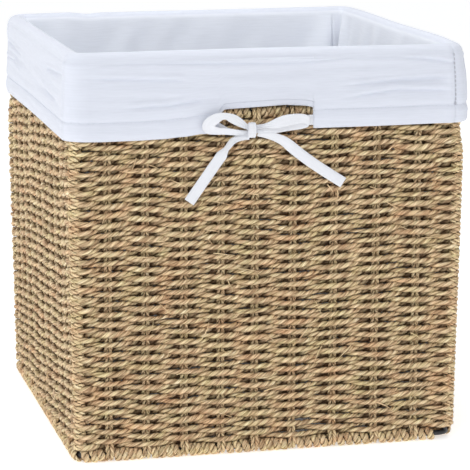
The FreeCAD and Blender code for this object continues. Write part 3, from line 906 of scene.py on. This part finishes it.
def make_base(weft_material, stake_material):
    rng = np.random.default_rng(SEEDS["base"])
    middle = (BASE_LOW.z + BASE_HIGH.z) / 2
    base_wefts(weft_material, rng, middle)
    base_stakes(stake_material, rng, middle)


# ---- the cotton liner ----
def round_ring(s, knots):
    """A height given at knots (ring distance, value), joined smoothly right round the ring."""
    where, values = (np.array(column) for column in zip(*knots))
    where = np.concatenate([where, [where[0] + PERIMETER]])
    values = np.append(values, values[0])
    at = (s - where[0]) % PERIMETER + where[0]
    number = np.clip(np.searchsorted(where, at, side="right") - 1, 0, len(where) - 2)
    part = smoothstep((at - where[number]) / (where[number + 1] - where[number]))
    return values[number] + (values[number + 1] - values[number]) * part


# The cuff's lower edge, as (ring distance, height), and the rim's unevenness, as (ring distance, rise).
HEM_KNOTS = (
    (-0.5 * SIDE_RUN, 0.2516), (-0.131, 0.2512), (-0.105, 0.2513), (-0.085, 0.2518), (-0.069, 0.2530),
    (-0.054, 0.2546), (-0.040, 0.2556), (0.034, 0.2563), (0.077, 0.2563), (0.5 * SIDE_RUN, 0.2568),
    (SIDE_RUN, 0.2540), (1.5 * SIDE_RUN, 0.2520), (2.0 * SIDE_RUN, 0.2515), (2.5 * SIDE_RUN, 0.2512),
    (3.0 * SIDE_RUN, 0.2522))
RIM_KNOTS = (
    (-0.5 * SIDE_RUN, -0.0002), (0, 0.0003), (0.5 * SIDE_RUN - 0.03, -0.0003), (0.5 * SIDE_RUN, 0.0002),
    (0.5 * SIDE_RUN + 0.045, 0.0014), (SIDE_RUN, 0.0006), (1.5 * SIDE_RUN - 0.05, 0.0012),
    (1.5 * SIDE_RUN, 0.0008), (2.0 * SIDE_RUN, 0.0002), (2.5 * SIDE_RUN - 0.075, 0.0000),
    (2.5 * SIDE_RUN - 0.062, -0.0009), (2.5 * SIDE_RUN - 0.045, 0.0006), (2.5 * SIDE_RUN - 0.01, 0.0002),
    (2.5 * SIDE_RUN + 0.02, -0.0006), (3.0 * SIDE_RUN, -0.0006))
# The upper edge of the notch.
CUT_KNOTS = (
    (NOTCH_LEFT, 0.2640), (-0.0388, 0.2708), (-0.0366, 0.2728), (0.011, 0.2748), (0.027, 0.2737),
    (NOTCH_RIGHT, 0.2722))
# Folds that run along the cuff, as lines of (ring distance, height). Every side has them, a little shifted.
CUFF_FOLDS = (
    ((-0.142, 0.3078), (-0.092, 0.3082), (-0.054, 0.3072), (-0.017, 0.3066), (0.021, 0.3060), (0.060, 0.3084),
     (0.098, 0.3080), (0.123, 0.3061), (0.147, 0.3020)),
    ((-0.147, 0.2982), (-0.100, 0.2960), (-0.063, 0.2944)),
    ((0.050, 0.2870), (0.100, 0.2898), (0.144, 0.2917)),
    ((0.052, 0.2774), (0.098, 0.2829), (0.144, 0.2817)),
    ((-0.120, 0.2748), (-0.080, 0.2760), (-0.050, 0.2800)))
TUCK_AT = 1.5 * SIDE_RUN - 0.018     # the bag's two inward folds: just before the back right corner,
BESIDE_AT = 2 * SIDE_RUN - 0.1290    # and just after it, on the back
SLIT_AT = 2 * SIDE_RUN - 0.1343


def corner_folds(s):
    """The bag's slack cloth, folded inward beside the back right corner, with a deep slit between."""
    folds = (TUCK_DEEP * np.exp(-(((s - TUCK_AT) / TUCK_WIDE) ** 2))
             + BESIDE_DEEP * np.exp(-(((s - BESIDE_AT) / TUCK_WIDE) ** 2)))
    return folds * (1 - np.exp(-(((s - SLIT_AT) / SLIT_WIDE) ** 2)))


def in_notch(s):
    """1 across the cuff's notch and 0 outside it, with steep sides."""
    s = from_front(s)
    return smoothstep((s - NOTCH_LEFT) / NOTCH_SIDE) * smoothstep((NOTCH_RIGHT - s) / NOTCH_SIDE)


def cuff_edge(s):
    """Height of the cuff's lower edge, and of the turned-up hem above it."""
    inside = in_notch(s)
    cut = np.interp(from_front(s), *(list(column) for column in zip(*CUT_KNOTS)))
    edge = round_ring(s, HEM_KNOTS) * (1 - inside) + cut * inside
    return edge, HEM_TURN * (1 - inside) + NOTCH_TURN * inside


class Ripples:
    """Soft creases in cloth, longer one way than the other."""

    def __init__(self, rng, count, cycles, height):
        self.waves = [(rng.integers(*cycles), 2 * math.pi / rng.uniform(*height), rng.uniform(0, 6.3),
                       rng.normal()) for _ in range(count)]
        self.scale = 1 / math.sqrt(count / 2)

    def at(self, s, z):
        total = 0 * s * z
        for cycles, rate, phase, strength in self.waves:
            total = total + strength * np.sin(2 * math.pi * cycles * s / PERIMETER + rate * z + phase)
        return total * self.scale


def corner_ear(s, part):
    """How far the cuff stands out at the corners, this part of the way from the rim to the hem."""
    number = np.floor(s / SIDE_RUN).astype(int) % 4
    middle, low = np.array(MIDDLE_EARS)[number], np.array(HEM_EARS)[number]
    return near_corner(s, EAR_WIDE) * (
        CORNER_EAR + (middle - CORNER_EAR) * smoothstep(part / 0.5)
        + (low - middle) * smoothstep((part - 0.75) / 0.25))


def folds_at(s, z, side):
    """How far the cuff's long folds push the cloth out (above each line) or in (along it)."""
    total = 0 * s
    for number, knots in enumerate(CUFF_FOLDS):
        where, heights = (np.array(column) for column in zip(*knots))
        flip = 1 if side in (0, 2) else -1
        local = flip * (s - side * SIDE_RUN)
        height = np.interp(local, where, heights) + 0.0011 * ((3 * side + 2 * number) % 5) * (side > 0)
        fade = smoothstep((local - where[0]) / 0.024) * smoothstep((where[-1] - local) / 0.012)
        above = (z - height) / FOLD_WIDE
        total = total + fade * FOLD_DEPTH * (0.75 * np.exp(-((above - 1.5) / 1.4) ** 2) - np.exp(-above**2))
    return total


def bag_rows(s, sags, lift):
    """Up the inside: slack between the base and the rim, with the folds at the back right corner."""
    calm = near_corner(s, CALM)
    for part in np.linspace(0, 1, BAG_ROWS, endpoint=False):
        z = BAG_LOW + (TOP_Z - BAG_LOW) * part + 0 * s
        slack = math.sin(math.pi * part) ** 0.6 if part > 0 else 0
        sag = 0.0020 + 0.0028 * sags.at(s, z)
        tuck = corner_folds(s) * (1 - part**16) * min(1.0, part * 3)
        yield -FOLD_RADIUS - slack * np.clip(sag, 0, 0.007) * (1 - 0.7 * calm) - tuck, z + lift * part


def fold_rows(s, lift):
    """Over the rim, in a half circle."""
    for angle in np.linspace(math.pi, 0, FOLD_ROWS, endpoint=False):
        out = FOLD_RADIUS * math.cos(angle) + corner_ear(s, 0) * max(0, math.cos(angle))
        yield out, TOP_Z + lift + FOLD_RADIUS * math.sin(angle)


def cuff_rows(s, creases, side, lift, stitch_line):
    """Down the outside to the hem's stitch line, creased and folded."""
    front = from_front(s)
    from_notch = np.maximum(NOTCH_LEFT - front, front - NOTCH_RIGHT)
    pinch_here = 0.15 + 0.85 * smoothstep(from_notch / 0.010)
    calm = near_corner(s, CALM)
    for part in np.linspace(0, 1, CUFF_ROWS, endpoint=False):
        z = TOP_Z + lift * (1 - part) + (stitch_line - TOP_Z) * part
        creased = math.sin(math.pi * min(1, part * 1.04)) ** 0.5
        ripple = CREASE * creases.at(s, z) * (1 - 0.8 * calm) * creased
        above_hem = (1 - part) * (TOP_Z - stitch_line)
        pinch = HEM_PINCH * pinch_here * np.exp(-((above_hem - 0.0004) / 0.0021) ** 2)
        relief = 0.0009 + np.clip(ripple + folds_at(s, z, side), -0.0014, 0.0026) - pinch
        yield FOLD_RADIUS + corner_ear(s, part) + relief * min(1, part * 30) + belly(z), z


def hem_rows(s, creases, edge, turn):
    """Down the outside of the hem casing, round its lower edge and up its inside."""
    inside = in_notch(s)
    bulge = HEM_BULGE * (1 - inside) + 0.0002 * inside
    for part in np.linspace(0, 1, HEM_ROWS, endpoint=False):
        z = edge + turn - turn * part
        full = math.sin(math.pi * part) ** 0.55 if part > 0 else 0
        ripple = 0.3 * CREASE * creases.at(s, 1.7 * z) * full
        yield FOLD_RADIUS + bulge * full + ripple + corner_ear(s, 1) + belly(z), z
    middle = (FOLD_RADIUS + HEM_INNER) / 2
    half = (FOLD_RADIUS - HEM_INNER) / 2
    for angle in np.linspace(0, math.pi, 5, endpoint=False):
        ear = corner_ear(s, 1) * (1 - angle / math.pi)
        yield middle + half * math.cos(angle) + ear + belly(edge), edge - 0.0007 * math.sin(angle)
    for part in np.linspace(0, 1, 7):
        z = edge + (turn - 0.001) * part
        yield HEM_INNER + belly(z), z


def liner_profile(s, creases, sags, side):
    """Rows of (out, height) over the columns s: up the bag, over the rim, down the cuff, round the hem."""
    edge, turn = cuff_edge(s)
    lift = round_ring(s, RIM_KNOTS)
    rows = [*bag_rows(s, sags, lift), *fold_rows(s, lift), *cuff_rows(s, creases, side, lift, edge + turn),
            *hem_rows(s, creases, edge, turn)]
    outs, heights = zip(*rows)
    return np.array(outs), np.array(heights)


def seam_dip(s, side, first, last):
    """The cloth is drawn in a little along each corner seam."""
    return (SEAM_DIPS[side - 1] * np.exp(-((s - first) / SEAM_SOFT) ** 2)
            + SEAM_DIPS[side] * np.exp(-((s - last) / SEAM_SOFT) ** 2))


def panel_columns(first, last, with_notch):
    """Ring distances of a panel's columns of points, closer beside seams, the slit and the notch."""
    s = [np.arange(first + 0.005, last - 0.005, COLUMN_STEP), first + SEAM_DENSE, last - SEAM_DENSE]
    if first < SLIT_AT < last:
        s.append(SLIT_AT + SLIT_WIDE * np.linspace(-2.4, 2.4, 13))
    if with_notch:
        for edge, step in ((NOTCH_LEFT, 1), (NOTCH_RIGHT, -1)):
            s.append(edge + step * np.linspace(0, NOTCH_SIDE, 4))
            s.append(edge + step * NOTCH_SIDE * np.array([-3.0, 3.0]))
    s = np.sort(np.concatenate(s))
    return s[np.append(True, np.diff(s) > 0.00002)]


def thicken(piece):
    """Gives a sheet of cloth its thickness."""
    solid = piece.modifiers.new("cloth", "SOLIDIFY")
    solid.thickness = CLOTH
    solid.offset = 0
    return solid


def make_liner(material, hidden_side):
    """Four side panels. hidden_side is the cloth's other face, seen only once the liner is lifted out."""
    creases = Ripples(np.random.default_rng(SEEDS["creases"]), 30, (-7, 8), (0.008, 0.026))
    sags = Ripples(np.random.default_rng(SEEDS["sags"]), 18, (10, 40), (0.06, 0.3))
    for side, name in enumerate(SIDES):
        first = (side - 1) * SIDE_RUN + SEAM
        last = side * SIDE_RUN + SEAM
        s = panel_columns(first, last, side == 0)
        out, height = liner_profile(s, creases, sags, side)
        out = out - seam_dip(s, side, first, last) * np.sign(out)
        points, _ = ring(np.repeat(s[None], len(out), 0), height, out)
        steps = np.linalg.norm(np.diff(points, axis=0), axis=-1)
        down = np.concatenate([[0], np.cumsum(np.median(steps, axis=1))])
        # Painted light: the bag's rows keep openness 0 and take the lighter bag colour; from a quarter of the
        # way over the fold on, the cuff's colour.
        outside = np.zeros(points.shape[:2])
        outside[BAG_ROWS + FOLD_ROWS // 4:] = 1
        bundle = Bundle()
        bundle.grid(points, fibre_places(points, s, down[:, None], 0), openness=outside)
        piece = bundle.object(f"liner_{name}", hidden_side)
        place(piece, LINER, "liner_cotton", f"liner_{name}_panel")
        piece.data.materials.append(material)
        thicken(piece).material_offset = 1


def make_liner_floor(material):
    """The square bottom panel of the liner, softly creased, lying on the woven base."""
    half = MID - FOLD_RADIUS - 0.0012
    rng = np.random.default_rng(SEEDS["liner floor"])
    steps = np.linspace(-half, half, 90)
    x, y = np.meshgrid(steps, steps)
    z = 0 * x
    for _ in range(16):
        angle, rate, phase = rng.uniform(0, math.pi), rng.uniform(25, 130), rng.uniform(0, 6.3)
        z += rng.normal() * np.sin(rate * (x * math.cos(angle) + y * math.sin(angle)) + phase)
    edge = np.minimum(half - np.abs(x), half - np.abs(y))
    rise = 0.0004 * np.clip(z, -1, 3) + 0.0004
    z = BAG_LOW + rise * smoothstep(edge / 0.02)
    points = np.stack([x, y, z], -1)
    fibre = np.stack([x, y, 0 * x], -1)
    bundle = Bundle()
    # Painted light: the floor takes the bag's lighter colour too.
    bundle.grid(points, fibre, openness=0 * x)
    piece = place(bundle.object("liner_floor", material), LINER, "liner_cotton", "liner_base_panel")
    thicken(piece)


def stitch(bundle, middle, direction, outward, length, thick):
    """One stitch: a short thread, bowed out and sunk into the cloth at both ends."""
    t = np.linspace(-1, 1, 5)
    bow = thick * 0.8 * (1 - t**2) - thick * 0.3
    line = middle + direction * (t * length / 2)[:, None] + outward * bow[:, None]
    tangent, distance = along(line)
    side = unit(np.cross(tangent, outward))
    normal = np.cross(tangent, side)
    theta = np.arange(6) * math.pi / 3
    points = line[:, None] + (np.cos(theta)[None, :, None] * side[:, None]
                              + np.sin(theta)[None, :, None] * normal[:, None]) * thick / 2
    bundle.grid(points, fibre_places(points, distance[:, None], thick * theta / 6, 0), True, True)


def seam_stitches(seams, hem):
    """Down each corner seam of the cuff, in a thread painted darker as shade along the stitches. The front
    left seam, which faces the light, has finer stitches in the hem's lighter thread.
    """
    for side in range(4):
        s = np.array([side * SIDE_RUN + SEAM])
        edge, _ = cuff_edge(s)
        bundle, thick = (seams, 0.0009) if side < 3 else (hem, 0.0004)
        for z in np.arange(SEAM_TOP, edge[0] + HEM_TURN, -SEAM_STITCH):
            down = (TOP_Z - z) / (TOP_Z - edge[0] - HEM_TURN)
            point, outward = ring(s, z, FOLD_RADIUS + 0.0006 + corner_ear(s, down) + belly(z))
            stitch(bundle, point[0], np.array([0, 0, 1.0]), outward[0], 0.62 * SEAM_STITCH, thick)


def hem_stitches(hem):
    """Round the top of the hem casing, except at the notch."""
    for s in np.arange(-0.5 * SIDE_RUN, 3.5 * SIDE_RUN, HEM_STITCH):
        at = np.array([s])
        if in_notch(at + 0.002)[0] > 0 or in_notch(at - 0.002)[0] > 0:
            continue
        edge, turn = cuff_edge(np.array([s - 0.001, s, s + 0.001]))
        z = edge[1] + turn[1]
        out = FOLD_RADIUS + CLOTH / 2 + belly(z) + corner_ear(at, 1)
        point, outward = ring(at, z, out)
        ahead, _ = ring(at + 0.001, edge[2], out)
        back, _ = ring(at - 0.001, edge[0], out)
        stitch(hem, point[0], unit(ahead[0] - back[0]), outward[0], 0.7 * HEM_STITCH, 0.00045)


def make_stitches(hem_thread, shaded_seam_thread):
    """A dashed line down each corner seam of the cuff, and one round the top of the hem."""
    seams, hem = Bundle(), Bundle()
    seam_stitches(seams, hem)
    hem_stitches(hem)
    for bundle, name, thread in ((seams, "seam_stitches", shaded_seam_thread), (hem, "hem_stitches", hem_thread)):
        piece = bundle.object(name, thread)
        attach(piece, LINER)


# ---- the tape: drawn through the hem and tied in a bow ----
def ribbon(bundle, centre, across, width):
    """A tape along a line, with its width laid across it. width has a value for each point."""
    tangent, distance = along(centre)
    side = square_to(tangent, across)
    normal = np.cross(tangent, side)
    section = ((1, 0), (0.94, 1), (0.34, 1), (-0.34, 1), (-0.94, 1), (-1, 0),
               (-0.94, -1), (-0.34, -1), (0.34, -1), (0.94, -1))
    u, v = (np.array(column)[None, :, None] for column in zip(*section))
    points = (centre[:, None] + side[:, None] * u * width[:, None, None] / 2
              + normal[:, None] * v * TAPE_THICK / 2)
    fibre = fibre_places(points, distance[:, None], u[..., 0] * TAPE / 2, v[..., 0] * 0.0002)
    bundle.grid(points, fibre, True, True)


def nurbs_line(route, step):
    """Evenly spaced points on the smooth spline that a route controls."""
    curve = bpy.data.curves.new("route", "CURVE")
    curve.dimensions = "3D"
    spline = curve.splines.new("NURBS")
    spline.points.add(len(route) - 1)
    for point, co in zip(spline.points, route):
        point.co = (*co, 1)
    spline.order_u = 3
    spline.use_endpoint_u = True
    spline.resolution_u = 16
    holder = bpy.data.objects.new("route", curve)
    mesh = bpy.data.meshes.new_from_object(holder)
    line = np.array([v.co[:] for v in mesh.vertices])
    bpy.data.objects.remove(holder)
    bpy.data.curves.remove(curve)
    bpy.data.meshes.remove(mesh)
    return resampled(line, step)


def make_tail(material, name, route, turning, gather, exit_point):
    """A free end of the tape.

    turning and gather give how far its flat side has turned and how wide it lies, along its length.
    """
    line = nurbs_line(route, 0.0008)
    tangent, distance = along(line)
    part = distance / distance[-1]
    angle = np.interp(part, *zip(*turning))
    flat = unit(np.cross(tangent, [0, 1.0, 0]))
    across = np.cos(angle)[:, None] * flat + np.sin(angle)[:, None] * np.cross(tangent, flat)
    bundle = Bundle()
    ribbon(bundle, line, across, TAPE * np.interp(part, *zip(*gather)))
    piece = place(bundle.object(name, material), LINER, "tie_tape", f"tie_{name}")
    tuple(exit_point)


def taut_ribbon(bundle, first_edge, other_edge):
    """A tape stretched between two given edges in millimetres, pleated where it enters the knot."""
    first, other = (smoothed(np.array(edge) / 1000, 12) for edge in (first_edge, other_edge))
    first[:, 0] += BOW_SHIFT
    other[:, 0] += BOW_SHIFT
    centre, across = (first + other) / 2, first - other
    tangent, distance = along(centre)
    normal = unit(np.cross(tangent, across))
    ends = np.minimum(distance, distance[-1] - distance)
    pleat = 0.0007 * np.exp(-((ends / 0.012) ** 2))
    u = np.linspace(-1, 1, 13)
    wave = pleat[:, None] * np.cos(3 * math.pi * u)[None]
    sheet = centre[:, None] + across[:, None] * u[None, :, None] / 2 + normal[:, None] * wave[..., None]
    half = normal[:, None] * TAPE_THICK / 2
    points = np.concatenate([sheet + half, (sheet - half)[:, ::-1]], 1)
    fibre = fibre_places(points, distance[:, None], np.concatenate([u, u[::-1]])[None] * TAPE / 2, 0)
    bundle.grid(points, fibre, True, True)


def make_bow(material):
    """Two loops of flat tape lying on the hem, with the knot between them."""
    bundle = Bundle()
    taut_ribbon(bundle, (
        (-12.0, -161.8, 258.4), (-15.0, -162.4, 259.8), (-18.4, -163.2, 263.0), (-22.0, -163.9, 266.2),
        (-26.6, -164.4, 268.8), (-33.3, -164.6, 270.2), (-38.7, -164.5, 270.2), (-44.6, -164.0, 268.4),
        (-49.4, -163.3, 264.6), (-51.0, -162.6, 260.2), (-49.6, -162.0, 256.4), (-46.4, -161.6, 254.2),
        (-41.0, -161.4, 253.4), (-33.3, -161.4, 253.2), (-24.1, -161.6, 252.4), (-15.6, -162.0, 252.2),
        (-12.0, -162.2, 252.8)), (
        (-12.0, -162.2, 255.8), (-15.6, -162.8, 256.4), (-19.6, -163.6, 257.9), (-24.2, -164.6, 259.8),
        (-29.2, -165.2, 262.4), (-33.2, -165.2, 265.0), (-35.8, -165.0, 264.8), (-38.4, -164.4, 262.8),
        (-40.4, -163.8, 261.0), (-41.0, -163.2, 260.2), (-40.2, -162.8, 259.5), (-37.5, -162.6, 258.8),
        (-33.3, -162.6, 258.3), (-28.0, -162.6, 257.6), (-22.5, -162.6, 256.4), (-15.6, -162.4, 255.4),
        (-12.0, -162.2, 255.4)))
    taut_ribbon(bundle, (
        (-12.0, -161.8, 259.4), (-9.0, -162.4, 259.9), (-2.5, -163.4, 260.9), (2.2, -164.2, 262.9),
        (6.8, -165.0, 265.2), (13.0, -165.6, 267.2), (20.7, -165.8, 267.9), (27.6, -165.4, 267.4),
        (31.6, -164.6, 265.6), (32.8, -163.4, 263.2), (32.0, -162.6, 261.4), (26.0, -162.2, 261.6),
        (16.8, -162.0, 261.0), (8.0, -162.0, 259.4), (0.0, -162.0, 258.0), (-12.0, -162.0, 256.8)), (
        (-12.0, -162.2, 256.0), (-8.6, -162.8, 256.6), (-2.5, -164.0, 257.2), (2.6, -164.8, 257.2),
        (7.2, -165.4, 257.2), (12.0, -165.8, 258.0), (17.5, -165.8, 259.2), (23.5, -165.2, 260.2),
        (28.0, -164.2, 260.0), (31.0, -163.2, 258.6), (31.8, -162.2, 257.0), (26.0, -161.6, 255.4),
        (16.8, -161.4, 254.4), (8.0, -161.4, 253.2), (0.0, -161.6, 253.2), (-12.0, -162.0, 254.0)))
    make_knot(bundle)
    return place(bundle.object("bow", material), LINER, "tie_tape", "tie_bow")


def make_knot(bundle):
    """The knot: the tape's middle turn, gathered and wrapped upright round both loops."""
    u = np.linspace(-1, 1, 15)[:, None]
    theta = (np.arange(24) * 2 * math.pi / 24)[None]
    swell = np.sqrt(1 - 0.72 * u**6) * (1 + 0.035 * np.cos(3.2 * math.pi * u + 0.5 * np.sin(theta)))
    half_wide = KNOT_HALF_WIDE + 0.0004 * np.abs(np.cos(theta)) ** 3
    points = np.stack([
        KNOT.x + half_wide * u + 0.0003 * np.sin(theta),
        KNOT.y - KNOT_HALF_DEEP * swell * np.sin(theta),
        KNOT.z + KNOT_HALF_HIGH * swell * np.cos(theta) + 0 * u], -1)
    fibre = np.stack([0.0045 * u + 0 * theta, 0.030 * theta / 6.3 + 0 * u, 0 * u * theta], -1)
    bundle.grid(points, fibre, True, True)


def make_casing_tape(material):
    """The tape's run round the hem casing, with both ends brought out at the notch to the knot."""
    bundle = Bundle()
    s = np.linspace(NOTCH_RIGHT - 0.001, PERIMETER + NOTCH_LEFT - 0.001, 700)
    edge = round_ring(s, HEM_KNOTS)
    inside, _ = ring(s, edge + HEM_TURN / 2 - 0.001, TAPE_OUT + belly(edge))
    left = [(-0.0352, -0.1588, 0.2562), (-0.0277, -0.1600, 0.2545), (-0.0187, -0.1610, 0.2535)]
    right = [(-0.0117, -0.1608, 0.2550), (0.0013, -0.1593, 0.2570), (0.0175, -0.1584, 0.2610)]
    line = resampled(smoothed(right + list(inside[::3]) + left, 3), 0.0015)
    _, distance = along(line)
    ends = np.minimum(distance, distance[-1] - distance)
    width = TAPE_EXIT + (0.9 * TAPE - TAPE_EXIT) * smoothstep((ends - 0.024) / 0.02)
    ribbon(bundle, line, np.tile([0, 0, 1.0], (len(line), 1)), width)
    place(bundle.object("casing_tape", material), LINER, "tie_tape", "drawstring_tape")


# ---- floor and light ----
def make_floor():
    mesh = bpy.data.meshes.new("floor")
    mesh.from_pydata([(-4, -4, 0), (4, -4, 0), (4, 4, 0), (-4, 4, 0)], [], [(0, 1, 2, 3)])
    mesh.materials.append(floor_material())
    floor = bpy.data.objects.new("floor", mesh)
    bpy.context.scene.collection.objects.link(floor)


def area_light(name, place_at, size, power):
    """A square lamp that shines at the middle of the basket."""
    data = bpy.data.lights.new(name, "AREA")
    data.size = size
    data.energy = power
    light = bpy.data.objects.new(name, data)
    light.location = place_at
    light.visible_camera = False
    light.rotation_euler = (Vector((0, 0, 0.15)) - Vector(place_at)).to_track_quat("-Z", "Y").to_euler()
    bpy.context.scene.collection.objects.link(light)


def make_light():
    world = bpy.data.worlds.new("studio")
    world.use_nodes = True
    background = world.node_tree.nodes["Background"]
    background.inputs["Color"].default_value = (0.97, 0.985, 1.0, 1)
    background.inputs["Strength"].default_value = WORLD_LIGHT
    bpy.context.scene.world = world
    area_light("key", (-0.75, -1.7, 1.5), 1.0, KEY_LIGHT)
    area_light("fill", (1.5, -1.5, 0.8), 1.5, FILL_LIGHT)
    area_light("left", (-1.8, 0.1, 0.7), 1.2, LEFT_LIGHT)
    area_light("back", (1.3, 1.7, 1.1), 1.4, BACK_LIGHT)
    area_light("top", (0, -0.02, 0.85), 0.35, TOP_LIGHT)
    bpy.context.scene.view_settings.view_transform = "Standard"


# ---- the whole scene ----
make_camera()
TAPE_CLOTH = woven_cloth("tie_tape", TAPE_TONE, TAPE_TONE, 1400, 0.35)
COTTON = woven_cloth("liner_cotton", CUFF_TONE, BAG_PAINTED_LIGHT_TONE, 1100, 0.22)
COTTON_BACK = woven_cloth("liner_cotton_back", CUFF_TONE, CUFF_TONE, 1100, 0.22)
SHADED_SEAM_THREAD = woven_cloth("shaded_seam_thread", SHADED_THREAD_TONE, SHADED_THREAD_TONE, 1400, 0.3)
WEFT = seagrass("seagrass_weft", 1.18)
# Painted light: the stakes and wound cords are the weft's seagrass, painted lighter because they sit in
# shade.
BRIGHTENED_STAKE_GRASS = seagrass("seagrass_stake", 1.25)
BRIGHTENED_WRAP_GRASS = seagrass("seagrass_wrap", 1.34)
bow = make_bow(TAPE_CLOTH)
make_tail(TAPE_CLOTH, "tail_left", LEFT_TAIL, ((0, 0.3), (0.2, 0.7), (0.30, 0.85), (0.42, 0.1), (1, 0)),
          ((0, 0.55), (0.2, 0.62), (0.30, 0.56), (0.38, 0.94), (1, 0.96)), LEFT_TAIL[0])
make_tail(TAPE_CLOTH, "tail_right", RIGHT_TAIL, ((0, 0.4), (0.2, 0.2), (0.5, 0.05), (1, 0)),
          ((0, 0.5), (0.15, 0.7), (0.35, 0.95), (1, 0.95)), RIGHT_TAIL[0])
make_casing_tape(TAPE_CLOTH)
make_walls(WEFT)
make_stakes(BRIGHTENED_STAKE_GRASS)
make_base(WEFT, BRIGHTENED_STAKE_GRASS)
rim_cord(BRIGHTENED_WRAP_GRASS, "top_rim_cord", "top_rim_wrap", TOP_Z, False)
rim_cord(BRIGHTENED_WRAP_GRASS, "bottom_rim_cord", "bottom_rim_wrap", BOTTOM_Z, True)
for hole_side in (0, 2):
    hole_cord(BRIGHTENED_WRAP_GRASS, hole_side)
post_cords(BRIGHTENED_WRAP_GRASS)
make_liner(COTTON, COTTON_BACK)
make_liner_floor(COTTON)
make_stitches(COTTON, SHADED_SEAM_THREAD)
WIRE_COAT = coated_wire()
for node_name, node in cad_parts.items():
    if "wire" in node_name or "corner_post" in node_name:
        node.data.materials.clear()
        node.data.materials.append(WIRE_COAT)
make_floor()
make_light()
